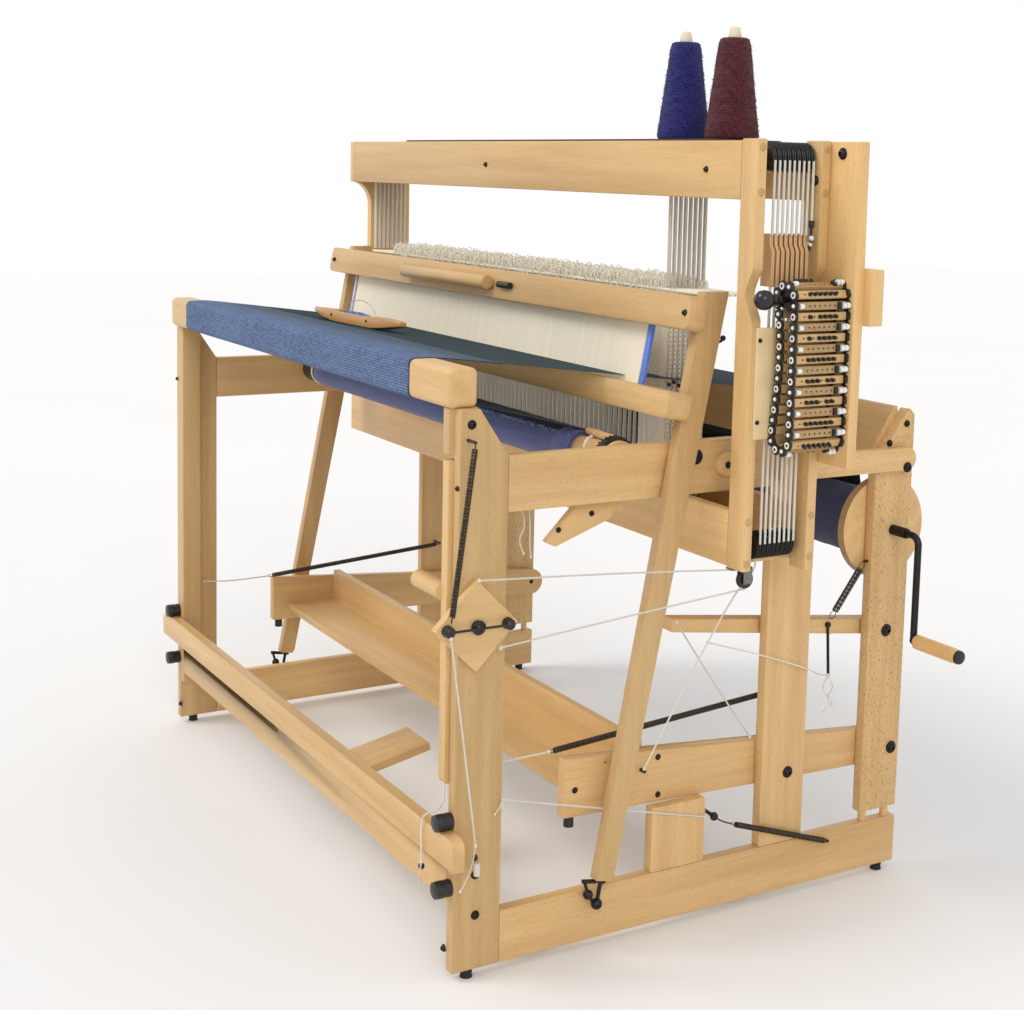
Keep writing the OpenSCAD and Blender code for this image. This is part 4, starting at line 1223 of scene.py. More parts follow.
        # the middle of each shaft's threads, and last of those right of the heddles
        eyes = [(0, y, web_z(y)) for y in (*map(shaft_y, range(1, SHAFTS + 1)), WARP_EDGE_Y)]
        fronts, backs = ([bmesh.new() for _ in eyes] for _ in range(2))
        tail = bmesh.new()
        for k in range(int((WEB_RIGHT - WEB_LEFT) / given.thread_pitch) + 1):
            x = WEB_LEFT + k * given.thread_pitch
            shaft = k % SHAFTS if x <= LOOM_OT_shafts.HEDDLE_RIGHT else SHAFTS
            eye = eyes[shaft]
            for bm, a, b in ((fronts[shaft], fell, eye), (backs[shaft], eye, rest)):
                rod(bm, (x, *a[1:]), (x, *b[1:]), given.thread / 2, sides=4)
            for a, b in zip(bends, bends[1:]):
                rod(tail, (x, *a), (x, *b), given.thread_pitch * self.TAIL_SHARE, sides=4)
        piece("warp_tail", tail, "frame", skin)
        fell, rest = in_row(fell), in_row(rest)
        for i, (eye, front, back) in enumerate(zip(eyes, fronts, backs), 1):
            held = i <= SHAFTS
            label = f"warp_{i}" if held else "warp_edge"
            before, behind = (piece(label + end, bm, None if held else "frame", skin)
                              for end, bm in (("_front", front), ("_back", back)))
            if held:
                eye = in_row(eye)
                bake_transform(before)
                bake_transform(behind)


class LOOM_OT_shafts(bpy.types.Operator):
    """Makes each shaft's bars and its row of heddles, whose eyes hold the warp threads"""
    bl_idname = "loom.shafts"
    bl_label = "Shafts and heddles"

    LEFT, LOW_LEFT, RIGHT = -700, -600, 600
    HEDDLE_LEFT, HEDDLE_RIGHT = -592, 476
    LOW, TOP, BAR_H, BAR_T = 702, 1018, 12, 5
    LAST_STRING = 480
    DASHES, DASH_PITCH = 38, 7.6
    LOOP_KINDS, LOOP_R = 6, 0.75
    STRING_R = 0.8

    def execute(self, context):
        pitch = sizes().thread_pitch
        count = int((self.HEDDLE_RIGHT - self.HEDDLE_LEFT) / pitch)
        first = round((self.HEDDLE_LEFT - WEB_LEFT) / pitch)
        chance = random.Random(11)
        for i in range(1, SHAFTS + 1):
            y = shaft_y(i)
            self.bars(i, y)
            bm = bmesh.new()
            eye = self.heddle_mesh(web_z(y))
            loops = [self.loop_mesh(chance) for _ in range(self.LOOP_KINDS)]
            for k in range(first, first + count):
                if k % SHAFTS != i - 1:
                    continue
                x = WEB_LEFT + k * pitch
                stamp(bm, eye, Matrix.Translation((x, y, 0)))
                for _ in range(sizes().loops):
                    turn = Matrix.Rotation(chance.uniform(0, 2 * math.pi), 4, "Z")
                    stamp(bm, chance.choice(loops), Matrix.Translation(
                        (x + chance.uniform(-8, 8), y + chance.uniform(-3, 3),
                         self.TOP - chance.uniform(5, 15))) @ turn)
            piece(f"shaft_{i}_heddles", bm, f"shaft_{i}", (heddle_string(),),
                  sharp=180)
        return {"FINISHED"}

    def bars(self, i, y):
        """A shaft's two bars, its left rod and the plain strings at its right."""
        bm = bmesh.new()
        slab(bm, (self.LOW_LEFT, y - self.BAR_T / 2, self.LOW),
             (self.RIGHT, y + self.BAR_T / 2, self.LOW + self.BAR_H), 0, 0.8)
        slab(bm, (self.LEFT, y - 2, self.TOP - self.BAR_H),
             (self.RIGHT, y + 2, self.TOP - self.BAR_H + 4), 2, 0.8)
        x = self.LOW_LEFT + 3
        rod(bm, (x, y, self.LOW + 6), (x, y, self.TOP - 10), 2, sides=10)
        for x in range(396, 474, 3):
            rod(bm, (x, y, self.LOW + 8), (x, y, self.TOP - 10), self.STRING_R, index=2, sides=4)
        # the last string holds the bars apart, with black dashes and two clips
        x = self.LAST_STRING
        rod(bm, (x, y, self.LOW + 6), (x, y, self.TOP - 8), 1.5, index=2, sides=8)
        for step in range(self.DASHES):
            z = self.LOW + 14 + step * self.DASH_PITCH
            rod(bm, (x + 1.4, y - 0.8, z), (x + 1.4, y - 0.8, z + 3.2), 0.6, index=1, sides=5)
        for drop in (6, 26):
            ball(bm, (x + 1, y, web_z(y) - drop - 5 * (i % 2)), 3.4, 1, detail=10)
        bar = steel("heddle_steel", (150, 148, 142))
        piece(f"shaft_{i}_frame", bm, f"shaft_{i}", (bar, plastic(), heddle_string()),
              (f"shaft_{i}",))

    def heddle_mesh(self, eye_z):
        """Two strings from bar to bar that part at the eye, round one warp thread."""
        bm = bmesh.new()
        (start_z, start), *levels = (
            (self.LOW + 6, 0.6), (eye_z - 13, 0.5), (eye_z - 8, 1.2), (eye_z + 8, 1.2),
            (eye_z + 13, 0.5), (self.TOP - 9, 0.6))
        for side in (-1, 1):
            x, z = side * start, start_z
            ring = bmesh.ops.create_circle(bm, segments=3, radius=self.STRING_R,
                                           matrix=Matrix.Translation((x, 0, z)))["verts"]
            edges = list({e for v in ring for e in v.link_edges})
            for next_z, offset in levels:
                grown = bmesh.ops.extrude_edge_only(bm, edges=edges)["geom"]
                moved = [g for g in grown if isinstance(g, bmesh.types.BMVert)]
                bmesh.ops.translate(bm, verts=moved, vec=(side * offset - x, 0, next_z - z))
                edges = [g for g in grown if isinstance(g, bmesh.types.BMEdge)
                         and all(v in moved for v in g.verts)]
                x, z = side * offset, next_z
        bmesh.ops.recalc_face_normals(bm, faces=bm.faces)
        return as_mesh(bm)

    def loop_mesh(self, chance):
        """One loose loop of string above a bar."""
        bm = bmesh.new()
        wide, tall = chance.uniform(3, 8), chance.uniform(12, 21)
        sway = chance.uniform(-5, 5)
        tube(bm, [(0, -1, -3), (wide * 0.8, -2, tall * 0.6), (sway, 0, tall),
                  (-wide * 0.8, 2, tall * 0.5), (-1, 1, -3)], self.LOOP_R, sides=0, steps=2)
        return as_mesh(bm)


class LOOM_OT_reed(bpy.types.Operator):
    """Sets the reed's dents between the race board and the handrail"""
    bl_idname = "loom.reed"
    bl_label = "Reed"

    LEFT, RIGHT = -592, 561
    LOW, HIGH = 800, 895
    U0, U1 = -23, -17
    MARGIN = 14
    DENT_HALF, DENT_INSET = 0.78, 2.4

    def execute(self, context):
        pitch = sizes().thread_pitch
        dent = bmesh.new()
        slab(dent, (-self.DENT_HALF, self.U0 + self.DENT_INSET, self.LOW - 8),
             (self.DENT_HALF, self.U1 - self.DENT_INSET, self.HIGH + 4))
        dent = as_mesh(dent)
        bm = bmesh.new()
        chance = random.Random(3)
        first = WEB_LEFT + pitch / 2
        for k in range(math.ceil((self.LEFT + self.MARGIN - first) / pitch),
                       int((self.RIGHT - self.MARGIN - first) / pitch)):
            x = first + k * pitch + chance.uniform(-0.12, 0.12)
            stamp(bm, dent, Matrix.Translation((x, 0, 0)))
        slab(bm, (self.RIGHT - 12, self.U0, self.LOW), (self.RIGHT, self.U1, self.HIGH), 1, 0.8)
        slab(bm, (self.LEFT, self.U0, self.LOW), (self.LEFT + 9, self.U1, self.HIGH), 2, 0.8)
        tilt = Matrix.Translation((0, *BEATER_PIVOT)) @ Matrix.Rotation(-BEATER_LEAN, 4, "X")
        bmesh.ops.transform(bm, matrix=tilt, verts=bm.verts)
        skins = (cane(), plastic("blue_tape", (96, 130, 222), 0.5),
                 plastic("pale_tape", (186, 192, 222), 0.5))
        piece("reed_dents", bm, "beater", skins, ("reed",))
        return {"FINISHED"}


# ---- Rolls, crank and yarn ----

class LOOM_OT_rolls(bpy.types.Operator):
    """Winds the cloth roll and the warp roll, with the ratchet, discs and crank"""
    bl_idname = "loom.rolls"
    bl_label = "Rolls and crank"

    # turned shapes, as pairs of radius and height
    RING = ((27, 0), (29, 0), (30, 1), (30, 3), (29, 4), (27, 4), (27, 0))
    WOOD_DISC = ((8, 0), (28, 0), (30, 1.5), (30, 7.5), (28, 9), (8, 9))
    WARP_DISC = ((12, 0), (86, 0), (88, 1.5), (88, 16.5), (86, 18), (12, 18))
    DISC_RIM = ((87.9, 1.6), (88.3, 1.6), (88.3, 16.4), (87.9, 16.4), (87.9, 1.6))
    WARP_AXLE = ((0, 0), (9, 0), (9, 33), (8, 36), (0, 36))
    CRANK_CAP = ((0, 0), (11.5, 0), (11.7, 2), (10.8, 5), (7, 6.6), (0, 7))
    GROOVE = ((12.4, 0.4), (12.4, 4.6), (11.5, 5), (11.5, 5.8))
    BEAM_END, AXLE_R, CAP_R, WARP_ROLL_R = 26, 8, 27.5, 57
    RATCHET_R, TEETH, GAP_SHARE, RATCHET = 35.8, 30, 0.9, (592, 608)
    # the dark band of painted shade: its columns, and its rows in degrees round the roll
    BAND_COLUMNS, BAND_PITCH, BAND_ROWS = 42, 24.5, (57, 62, 78, 98, 121, 126)
    FRAYS, FRAY_R = 420, 0.65
    BUNCH_WIDTH, BUNCH_SWELL, BUNCH_FIRST, BUNCH_LAST = 46, 3.4, 56, 224
    CRANK_OUT, CRANK_DROP, CRANK_BEND, CRANK_R = 63, 177, 15, 6
    GRIP_LONG, GROOVE_PITCH = 104, 6.2

    def execute(self, context):
        wood, cloth = beech("x"), roll_cloth()
        self.cloth_roll(wood, cloth)
        self.frayed_end(cloth)
        self.warp_roll(wood)
        self.crank()
        return {"FINISHED"}

    def cloth_roll(self, wood, cloth):
        y, z = CLOTH_AXIS
        bm = bmesh.new()
        width = WEB_RIGHT - WEB_LEFT
        profile = [(22, 0), (ROLL_R - 1, 0.5), (ROLL_R - 0.3, 1.5), (ROLL_R, 5)]
        profile += [(ROLL_R + 0.25 * math.sin(t * 0.11), t) for t in range(20, width - 30, 22)]
        profile += [(ROLL_R, width - 16), (ROLL_R - 0.6, width - 3), (ROLL_R - 3, width + 1.5),
                    (25, width - 0.5), (22, width)]
        lathe(bm, profile, (WEB_LEFT, y, z), TO_X, 0, 64)
        rod(bm, (WEB_RIGHT - 2, y, z), (INNER - self.BEAM_END, y, z), 22, sides=40, index=1,
            rim=2)
        # dark end cap and cream ring at the left-hand end
        reach = WEB_LEFT + INNER - self.BEAM_END
        lathe(bm, ((0, 0), (self.CAP_R - 1.5, 0), (self.CAP_R, 1.5), (self.CAP_R, reach),
                   (0, reach)), (self.BEAM_END - INNER, y, z), TO_X, 2, 48)
        lathe(bm, self.RING, (WEB_LEFT - 15, y, z), TO_X, 3, 48)
        for side in (-1, 1):
            rod(bm, (side * 598, y, z), (side * 640, y, z), self.AXLE_R, index=2)
        toothed(bm, self.RATCHET_R, *self.RATCHET, self.TEETH, self.GAP_SHARE, (0, y, z), TO_X, 2)
        lathe(bm, self.WOOD_DISC, (609, y, z), TO_X, 1, 48)
        # apron stick that lies along the top of the roll, and its string
        rod(bm, (508, 300, 789), (572, 300, 787), 6.5, sides=20, index=1, rim=1.5)
        rod(bm, (566, 300, 787.2), (584, 300, 786.6), 7, sides=20, index=1, rim=1.5)
        tube(bm, [(532, 292, 784), (538, 279, 780), (544, 270, 768), (547, 266, 752)], 2.6, 4)
        ring = plastic("cream_ring", (232, 226, 206), 0.45)
        piece("cloth_roll_made", bm, "cloth_roll", (cloth, wood, plastic(), ring, harness_skin()),
              ("cloth_beam",))

    def frayed_end(self, cloth):
        """A dark band of painted shade along the roll's top rear, the cloth's frayed threads and its
        bunched right-hand end.
        """
        bm = bmesh.new()
        fray = random.Random(8)

        def on_roll(x, degrees, lift):
            a, r = math.radians(degrees), ROLL_R + lift
            return (x, CLOTH_AXIS[0] + r * math.cos(a), CLOTH_AXIS[1] + r * math.sin(a))
        # the band of painted shade lies along the top rear of the roll, its two edges tucked into it
        rows = self.BAND_ROWS
        span(bm, [[bm.verts.new(on_roll(
            WEB_LEFT + 14 + k * self.BAND_PITCH, a + fray.uniform(-0.8, 0.8),
            -1 if a in (rows[0], rows[-1]) else 2.4 + fray.uniform(-0.4, 0.6)))
            for a in rows] for k in range(self.BAND_COLUMNS)], 1)
        for _ in range(self.FRAYS):
            x = fray.uniform(WEB_LEFT + 20, WEB_RIGHT - 4)
            a = fray.uniform(125, 135)
            reach = fray.uniform(3, 9)
            tube(bm, [on_roll(x, a, 0.4), on_roll(x + reach / 2, a + fray.uniform(1, 4), 1.8),
                      on_roll(x + reach, a + fray.uniform(-3, 5), 0.6)], self.FRAY_R, 2, sides=0,
                 steps=2)
        folds = [(fray.uniform(0.05, 0.16), fray.uniform(0.1, 0.35), fray.uniform(0, 6))
                 for _ in range(4)]

        def bunch(dx, a):
            crease = sum(abs(math.sin(dx * f + a * g + h)) for f, g, h in folds) / len(folds)
            swell = self.BUNCH_SWELL * math.sin(math.pi * min(1, dx / self.BUNCH_WIDTH)) ** 0.6
            edge_fade = min(1, (a - self.BUNCH_FIRST) / 12, (self.BUNCH_LAST - a) / 12)
            return on_roll(WEB_RIGHT - self.BUNCH_WIDTH + dx, a,
                           -0.8 + edge_fade * swell * (0.5 + crease))
        span(bm, [[bm.verts.new(bunch(dx, a))
                   for a in range(self.BUNCH_FIRST, self.BUNCH_LAST + 2, 2)]
                  for dx in range(0, self.BUNCH_WIDTH + 6, 2)], 0)
        skins = (cloth, thread_skin("band_painted_shade", tint(34, 40, 52)),
                 thread_skin("frayed_thread", tint(150, 196, 232)))
        piece("cloth_end", bm, "cloth_roll", skins, sharp=180)

    def warp_roll(self, wood):
        y, z = WARP_AXIS
        bm = bmesh.new()
        low = WEB_LEFT - 7
        width = INNER - 20 - low
        r = self.WARP_ROLL_R
        profile = [(30, 0), (r - 3, 0), (r, 4)]
        profile += [(r + 0.35 * math.sin(t * 0.13) + 0.2 * math.sin(t * 0.031), t)
                    for t in range(12, width - 6, 14)]
        profile += [(r, width - 4), (r - 3, width), (30, width)]
        lathe(bm, profile, (low, y, z), TO_X, 0, 72)
        for side, start in ((-1, -624), (1, 606)):
            lathe(bm, self.WARP_DISC, (start, y, z), TO_X, 1, 96)
            # darker end grain round the disc
            lathe(bm, self.DISC_RIM, (start, y, z), TO_X, 2, 96)
            rod(bm, (side * 300, y, z), (side * 606, y, z), 30, sides=40, index=1)
            rod(bm, (side * 624, y, z), (side * OUTER, y, z), 12, sides=32, index=1)
        lathe(bm, self.WARP_AXLE, (OUTER, y, z), TO_X, 3, 32)
        skins = (wound("warp_on_roll", tint(38, 56, 112)), wood, beech("x", 0.3, 0.45, "_rim"),
                 steel())
        piece("warp_roll_made", bm, "warp_roll", skins, ("warp_beam",))

    def crank(self):
        y, z = WARP_AXIS
        low, arm, bend = z - self.CRANK_DROP, OUTER + self.CRANK_OUT, self.CRANK_BEND
        end = arm + self.GRIP_LONG
        bm = bmesh.new()
        corner = [(arm - bend + bend * math.sin(a), y, z - bend + bend * math.cos(a))
                  for a in (math.pi / 2 * k / 8 for k in range(9))]
        tube(bm, [(OUTER + 32, y, z), *corner, (arm, y, low)], self.CRANK_R, smooth=False, sides=5)
        ball(bm, (arm, y, low), 6.6, detail=16)
        rod(bm, (arm, y, low), (end, y, low), 4, sides=16)
        lathe(bm, self.CRANK_CAP, (end, y, low), TO_X, 1, 32)
        piece("crank_made", bm, "warp_roll", (steel(), plastic()), ("crank",))

        bm = bmesh.new()
        start = arm + 7
        reach = end - 0.4 - start
        profile = [(4.1, 0), (10.5, 0), (11.8, 1.5)]
        t = 2
        while t < reach - 8:
            profile += [(r, t + d) for r, d in self.GROOVE]
            t += self.GROOVE_PITCH
        profile += [(12.2, t), (11.6, reach - 1), (10.6, reach), (4.1, reach)]
        lathe(bm, profile, (start, y, low), TO_X, 0, 40)
        piece("crank_grip_made", bm, "grip", (beech("x", 0.2, -0.2, "_grip"),),
              ("crank_grip",))


class LOOM_OT_yarn(bpy.types.Operator):
    """Stands the two yarn cones on the castle"""
    bl_idname = "loom.yarn"
    bl_label = "Yarn cones"

    FOOT, CENTRE_Y = CASTLE_TOP + 3, 500
    PLACES = (458, 590)
    RINGS, RING_PITCH, HAIRS = 20, 7.4, 900
    CONE_END = [(24.2, 152), (23, 156), (19, 158), (12, 157.5)]
    CORE = ((11.5, 150), (10.5, 160), (8.2, 172), (6.6, 174.5), (5.2, 175), (4.6, 171), (4.6, 150))

    def radius(self, z):
        return 44 - (z / 158) * 20

    def execute(self, context):
        given = colours()
        skins = (cone_yarn("blue_yarn", given.blue_yarn), cone_yarn("red_yarn", given.red_yarn),
                 plain_cone())
        bm = bmesh.new()
        wobble = random.Random(21)
        for index, x in enumerate(self.PLACES):
            foot = (x, self.CENTRE_Y, self.FOOT)
            heights = [6 + step * self.RING_PITCH for step in range(self.RINGS)]
            profile = [(0, 0.4), (39, 0.4), (42.5, 2.5)]
            profile += [(self.radius(z) + wobble.uniform(-0.35, 0.35), z) for z in heights]
            lathe(bm, profile + self.CONE_END, foot, TO_Z, index, 56)
            lathe(bm, self.CORE, foot, TO_Z, 2, 32)
            self.hairs(bm, x, index, wobble)
        piece("yarn_cones_made", bm, "frame", skins, ("yarn_cones",))
        return {"FINISHED"}

    def hairs(self, bm, x, index, wobble):
        """Short stray fibres that stand off the yarn."""
        hair = bmesh.new()
        rod(hair, (0, 0, -5), (0, 1.4, 5), 0.22, sides=3)
        hair = as_mesh(hair)
        for _ in range(self.HAIRS):
            z = wobble.uniform(6, 150)
            around = wobble.uniform(0, 2 * math.pi)
            r = self.radius(z) + 0.25
            foot = Vector((x, self.CENTRE_Y, self.FOOT))
            out = Vector((r * math.cos(around), r * math.sin(around), z))
            place = (Matrix.Translation(foot + out) @ Matrix.Rotation(around, 4, "Z")
                     @ Matrix.Rotation(wobble.uniform(0.9, 2.2), 4, "X")
                     @ Matrix.Rotation(wobble.uniform(-0.5, 0.5), 4, "Y"))
            stamp(bm, hair, place, index)


class LOOM_OT_shuttle(bpy.types.Operator):
    """Lays the boat shuttle on the warp, with its pirn of blue yarn and its wire"""
    bl_idname = "loom.shuttle"
    bl_label = "Shuttle"

    X, Y, ASKEW = -145, 190, 8
    HALF, WIDE, TALL = 152, 18, 24
    # ends of the hollow, its wall and its depth
    HOLLOW, WALL, DEPTH = (-72, 62), 6, 9
    SLIM_FROM, CUTS, RIM = 0.42, 15, 1.6
    PIRN = ((0, 0), (6, 0), (6.5, 4), (3.4, 7), (3.4, 12), (7.4, 18), (8, 60), (6, 82), (3, 96),
            (2.2, 104), (0, 104))
    WIRE = ((-60, 2, 20), (-52, 4, 34), (-22, 6, 46), (14, 6, 44), (44, 4, 32), (56, 2, 22))

    def execute(self, context):
        place = (Matrix.Translation((self.X, self.Y, web_z(self.Y) + 1.3))
                 @ Matrix.Rotation(math.atan(WEB_SLOPE), 4, "X")
                 @ Matrix.Rotation(math.radians(self.ASKEW), 4, "Z"))
        bm = bmesh.new()
        stamp(bm, self.hull(), place)
        lathe(bm, self.PIRN, place @ Vector((-52, 0, 17)), place.to_3x3() @ Vector(TO_X), 1, 24)

        def bar(a, b, r, index):
            rod(bm, place @ Vector(a), place @ Vector(b), r, index=index)
        for x in (-66, 58):
            bar((x, -8, 17), (x, 8, 17), 1.4, 2)
            bar((x - 4, -17.6, 12), (x - 4, -18.4, 12), 3.2, 3)
        tube(bm, [place @ Vector(p) for p in self.WIRE], 0.75, 2)
        bar((-70, 0, 8), (-70, 0, 24), 2.2, 2)
        skins = (oiled_wood(), cone_yarn("pirn_yarn", tint(104, 138, 200)),
                 steel("bright_steel", (176, 172, 164)), plastic())
        piece("shuttle_made", bm, "frame", skins, ("shuttle",), sharp=50)
        return {"FINISHED"}

    def hull(self):
        """The shuttle's body: a block that narrows and rises to its tips, hollowed on top."""
        bm = bmesh.new()
        bmesh.ops.create_cube(bm, size=1, matrix=Matrix.Translation((0, 0, self.TALL / 2))
                              @ Matrix.Diagonal((self.HALF * 2, self.WIDE * 2, self.TALL, 1)))
        lengthwise = [e for e in bm.edges if abs(e.verts[0].co.x - e.verts[1].co.x) > 1]
        bmesh.ops.subdivide_edges(bm, edges=lengthwise, cuts=self.CUTS, use_grid_fill=True)
        for v in bm.verts:
            t = abs(v.co.x) / self.HALF
            slim = max(0, (t - self.SLIM_FROM) / (1 - self.SLIM_FROM))
            v.co.y *= 1 - 0.6 * slim ** 2.4
            if v.co.z < self.TALL / 2:
                v.co.z += 13 * slim ** 1.3
            else:
                v.co.z -= 4 * min(1, max(0, 2.2 - t * 4)) + 3 * slim
        top = [f for f in bm.faces if f.normal.z > 0.7
               and self.HOLLOW[0] < f.calc_center_median().x < self.HOLLOW[1]]
        bmesh.ops.inset_region(bm, faces=top, thickness=self.WALL, use_even_offset=True)
        floor = bmesh.ops.extrude_face_region(bm, geom=top)["geom"]
        bmesh.ops.delete(bm, geom=top, context="FACES")
        bmesh.ops.translate(bm, verts=[g for g in floor if isinstance(g, bmesh.types.BMVert)],
                            vec=(0, 0, -self.DEPTH))
        bmesh.ops.recalc_face_normals(bm, faces=bm.faces)
        rims = [e for e in bm.edges if len(e.link_faces) == 2
                and e.calc_face_angle(0) > math.radians(50) and e.is_convex]
        soften(bm, rims, self.RIM)
        return as_mesh(bm)


# ---- Springs, pulleys and dobby ----

def coil(bm, a, b, r, wire, hook=9):
    """A close-wound spring between two hooks."""
    a, b = Vector(a), Vector(b)
    d = (b - a).normalized()
    side = d.cross(Vector((0.3, 0.5, 0.81))).normalized()
    other = d.cross(side)
    start, stop = a + d * hook, b - d * hook
    steps = 8
    count = int((stop - start).length / (wire * 2.15)) * steps
    points = []
    for k in range(count + 1):
        angle = 2 * math.pi * k / steps
        turn = side * math.cos(angle) + other * math.sin(angle)
        points.append(start.lerp(stop, k / count) + (r - wire) * turn)
    tube(bm, points, wire, smooth=False, sides=0)
    for centre, out in ((start, -1), (stop, 1)):
        ring = [centre + d * out * hook * 0.5 * (1 - math.cos(t))
                + side * (r - wire) * math.sin(t) * 0.9
                for t in (2 * math.pi * k / 14 for k in range(14))]
        tube(bm, ring, wire * 0.9, smooth=False, sides=0)


class LOOM_OT_springs(bpy.types.Operator):
    """Winds the steel springs, with their hooks and eyes"""
    bl_idname = "loom.springs"
    bl_label = "Springs"

    # both ends, the radii of the coil and its wire, and the length of a hook
    COILS = (
        ((-600, 187, 309), (-600, 601, 340), 5, 0.75, 9),
        ((600, 187, 309), (600, 601, 340), 5, 0.75, 9),
        ((652, 505, 151), (652, 712, 80), 5, 0.75, 9),
        ((670, 12, 814), (670, -22, 556), 4.8, 0.75, 9),
        ((636, 778, 555), (629, 715, 462), 6.2, 0.85, 14))
    PINS = (
        ((-600, 601, 340), (-INNER, 601, 340)), ((600, 601, 340), (INNER, 601, 340)),
        ((OUTER, 712, 80), (652, 712, 80)), ((OUTER, 12, 814), (670, 12, 814)),
        ((636, 778, 555), (636, 785, 555)))
    PIN_R = 2.5

    def execute(self, context):
        bm = bmesh.new()
        for row in self.COILS:
            coil(bm, *row)
        for a, b in self.PINS:
            rod(bm, a, b, self.PIN_R, sides=12)
        tube(bm, [(648, 474, 166), (650, 488, 158), (652, 505, 151)], 1.4)
        piece("coil_springs", bm, "frame", (steel("spring_steel", (74, 66, 56)),),
              ("springs",))
        return {"FINISHED"}


class LOOM_OT_dobby(bpy.types.Operator):
    """Builds the pulleys, the peg drum and the chain of peg bars"""
    bl_idname = "loom.dobby"
    bl_label = "Dobby"

    BARS, PITCH = 34, 16
    BAR_W, BAR_T, BAR_LONG = 12, 7, 96
    MID = BAR_W / 2
    SAG = 13
    HOLES = [14 + n * 9.6 for n in range(7)]
    # turned shapes, as pairs of radius and height
    PULLEY = ((4, -3.4), (18.6, -3.4), (20, -2.6), (17.6, -0.8), (17.6, 0.8), (20, 2.6),
              (18.6, 3.4), (4, 3.4))
    SMALL_PULLEY = ((3, -4.5), (12.6, -4.5), (14, -3.4), (10.8, -1), (10.8, 1), (14, 3.4),
                    (12.6, 4.5), (3, 4.5))
    PULLEY_PIN = ((0, -7), (5.4, -7), (5.4, 7), (0, 7))
    KNOB = ((0, 30), (5, 29.4), (10, 27), (14, 22), (15, 15), (14, 8.5), (10.5, 3.5), (7, 1),
            (7, -6), (9, -7), (9, -12), (0, -12))
    ROLLER = ((0, -3.2), (4.1, -3.2), (4.6, -2.2), (4.6, 2.2), (4.1, 3.2), (0, 3.2))
    END_ROLLER = ((0, -4), (3.6, -4), (4, -3), (4, 3), (3.6, 4), (0, 4))

    def execute(self, context):
        self.pulleys()
        self.drum()
        self.chain()
        return {"FINISHED"}

    def pulleys(self):
        bm = bmesh.new()
        for z, count in ((TOP_PULLEY_Z, SHAFTS + 1), (LOW_PULLEY_Z, SHAFTS)):
            for i in range(1, count + 1):
                lathe(bm, self.PULLEY, (PULLEY_X, jack_y(i), z), TO_Y, 0, 36)
            rod(bm, (PULLEY_X, CASTLE_FRONT + 18, z), (PULLEY_X, CASTLE_BACK - 18, z), 4, index=1)
        centre = Vector((PULLEY_X, CASTLE_FRONT + 32, LOWER_BOX_LOW - 23))
        lathe(bm, self.SMALL_PULLEY, centre, TO_X, 0, 40)
        lathe(bm, self.PULLEY_PIN, centre, TO_X, 1, 24)
        for x in (PULLEY_X - 8, PULLEY_X + 8):
            slab(bm, (x - 1, centre.y - 8, centre.z - 6), (x + 1, centre.y + 8, 600), 1, 0.6)
        slab(bm, (PULLEY_X - 9, CASTLE_FRONT + 2, 597), (PULLEY_X + 9, centre.y + 8, 600), 1, 0.6)
        # comb of black guides behind the jacks
        for k in range(5):
            y = CASTLE_FRONT + 58 + k * 13
            slab(bm, (752, y, 1030), (766, y + 6, 1040), 0, 1)
        skins = (plastic(), steel("grey_steel", (120, 118, 114)))
        piece("cord_pulleys_made", bm, "frame", skins, ("cord_pulleys",))

    def drum(self):
        bm = bmesh.new()
        rod(bm, (DRUM_X, CASTLE_FRONT + 8, DRUM_Z), (DRUM_X, 578, DRUM_Z), 5, index=1)
        toothed(bm, DRUM_R, CHAIN_FRONT, CHAIN_REAR, 8, 0.86, (DRUM_X, 0, DRUM_Z), TO_Y, 0)
        lathe(bm, self.KNOB, (DRUM_X, CASTLE_FRONT + 13, DRUM_Z), FORWARD, 2, 40)
        skins = (plastic(), steel(), plastic("black_gloss", (18, 18, 20), 0.16))
        piece("drum_made", bm, "peg_drum", skins, ("peg_drum",))

    def bar_place(self, k):
        """The place of bar k on the loop: over the drum, down inside, round and up outside."""
        r = DRUM_R + 0.3 + self.BAR_T / 2
        half = math.pi * r
        drop = (self.BARS * self.PITCH - 2 * half) / 2
        s = (k + 0.5) * self.PITCH
        sag = 0
        if s < half:
            angle, z = s / r, 0
        elif s < half + drop:
            angle, z = math.pi, half - s
            sag = self.SAG * math.sin(math.pi * ((s - half) / drop) ** 0.75)
        elif s < 2 * half + drop:
            angle, z = math.pi + (s - half - drop) / r, -drop
        else:
            angle, z = 2 * math.pi, s - 2 * half - 2 * drop
        return (Matrix.Translation((DRUM_X + sag, CHAIN_FRONT, DRUM_Z + z))
                @ Matrix.Rotation(-angle, 4, "Y")
                @ Matrix.Translation((r - self.BAR_T / 2, 0, -self.MID)))

    def chain(self):
        bm = bmesh.new()
        chance = random.Random(17)
        for k in range(self.BARS):
            part = bmesh.new()
            pegged = k % 2 == 0
            slab(part, (0, 2, 0), (self.BAR_T, self.BAR_LONG - 2, self.BAR_W), 0 if pegged else 1,
                 0.5)
            pegs = set(chance.sample(range(1, 7), chance.choice((4, 5, 6)))) if pegged else ()
            for n, y in enumerate(self.HOLES):
                self.hole(part, y, n in pegs)
            self.bar_ends(part, pegged)
            if not pegged:
                self.rollers(part)
            stamp(bm, as_mesh(part), self.bar_place(k))
        skins = (beech("y", 0.4, 0.12, "_peg"), beech("y", 0.4, 0.38, "_bar"), plastic(),
                 plastic("peg_hole_painted_shade", (20, 14, 10), 0.8),
                 plastic("white_rollers", (232, 230, 222), 0.28))
        piece("peg_chain_made", bm, "frame", skins, ("peg_chain",))

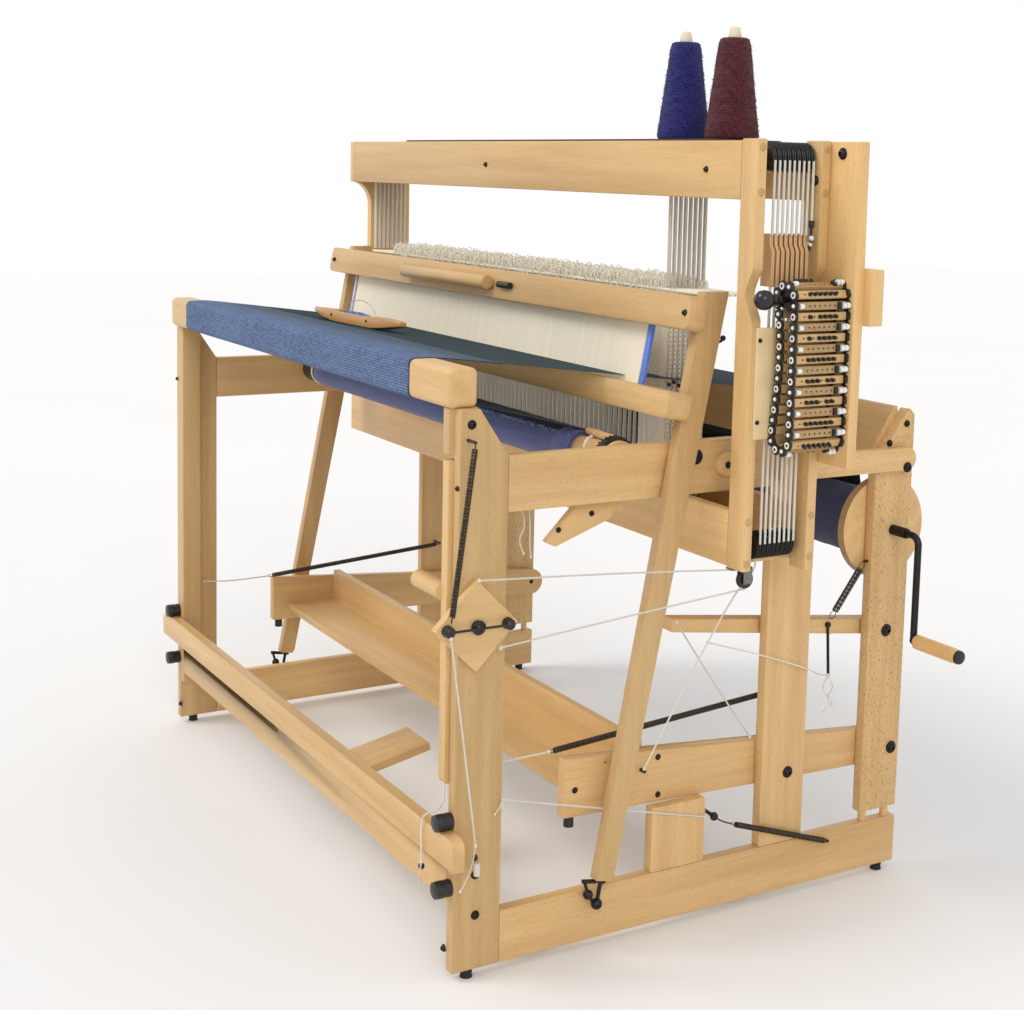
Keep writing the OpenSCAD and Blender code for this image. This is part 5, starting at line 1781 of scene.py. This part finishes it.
    def hole(self, part, y, pegged):
        """A peg in a bar's face, or a flat dark disc of painted shade where the hole is empty."""
        if pegged:
            top = (self.BAR_T + 6, y, self.MID)
            rod(part, (self.BAR_T - 1, y, self.MID), top, 3.3, 2.9, 12, 2, 0.7)
            ball(part, top, 2.6, 2, (0.6, 1, 1), 8)
        else:
            # painted shade: an empty hole is a thin dark disc on the bar's face
            rod(part, (self.BAR_T - 0.4, y, self.MID), (self.BAR_T + 0.12, y, self.MID), 1.5,
                index=3, sides=10)

    def bar_ends(self, part, pegged):
        """Black hexagon ends with pale middles."""
        x, z = self.MID - 2, self.MID
        for y, out in ((-1, -1), (self.BAR_LONG - 1, 1)):
            rod(part, (x, y, z), (x, y + out * 4, z), 9.2, sides=6, index=2, rim=0.8)
            rod(part, (x, y + out * 3.6, z), (x, y + out * 4.6, z), 5.2 if pegged else 3.1,
                sides=20, index=4)
            if pegged:
                rod(part, (x, y + out * 4, z), (x, y + out * 4.9, z), 2.5, sides=12, index=2)
            else:
                ball(part, (x, y + out * 4.6, z), 3.1, 4, (1, 0.7, 1), 10)

    def rollers(self, part):
        """White rollers and a black stud on the face of a bar without pegs."""
        for y in (86, 93.5):
            lathe(part, self.ROLLER, (self.BAR_T + 3.4, y, self.MID), TO_Y, 4, 16)
        lathe(part, self.END_ROLLER, (self.BAR_T + 2.2, 6, self.MID), TO_Y, 4, 16)
        slab(part, (self.BAR_T - 1, 76, 0.5), (self.BAR_T + 4, 82, 11.5), 2, 0.8)


# ---- Panel and registration ----

BUILD_ORDER = ("camera", "tie_cords", "harness", "woodwork", "bolts", "cloth", "shafts", "reed",
               "rolls", "yarn", "shuttle", "springs", "dobby", "tray", "stage")


class LOOM_PT_finish(bpy.types.Panel):
    """Lists the loom's pieces, sizes and colours"""
    bl_idname = "LOOM_PT_finish"
    bl_label = "Floor loom"
    bl_space_type = "VIEW_3D"
    bl_region_type = "UI"
    bl_category = "Loom"

    def draw(self, context):
        for group in (sizes(), colours()):
            box = self.layout.box()
            for name in group.__annotations__:
                box.prop(group, name)
        for name in BUILD_ORDER:
            self.layout.operator("loom." + name)


CLASSES = (LoomSizes, LoomColours, LOOM_OT_camera, LOOM_OT_tie_cords, LOOM_OT_harness,
           LOOM_OT_woodwork, LOOM_OT_bolts, LOOM_OT_cloth, LOOM_OT_shafts, LOOM_OT_reed,
           LOOM_OT_rolls, LOOM_OT_yarn, LOOM_OT_shuttle, LOOM_OT_springs, LOOM_OT_dobby,
           LOOM_OT_tray, LOOM_OT_stage, LOOM_PT_finish)


def register():
    for cls in CLASSES:
        bpy.utils.register_class(cls)
    bpy.types.Scene.loom_sizes = PointerProperty(type=LoomSizes)
    bpy.types.Scene.loom_colours = PointerProperty(type=LoomColours)


def unregister():
    del bpy.types.Scene.loom_colours
    del bpy.types.Scene.loom_sizes
    for cls in reversed(CLASSES):
        bpy.utils.unregister_class(cls)


def main():
    register()
    for name in BUILD_ORDER:
        getattr(bpy.ops.loom, name)()


if __name__ == "__main__":
    main()
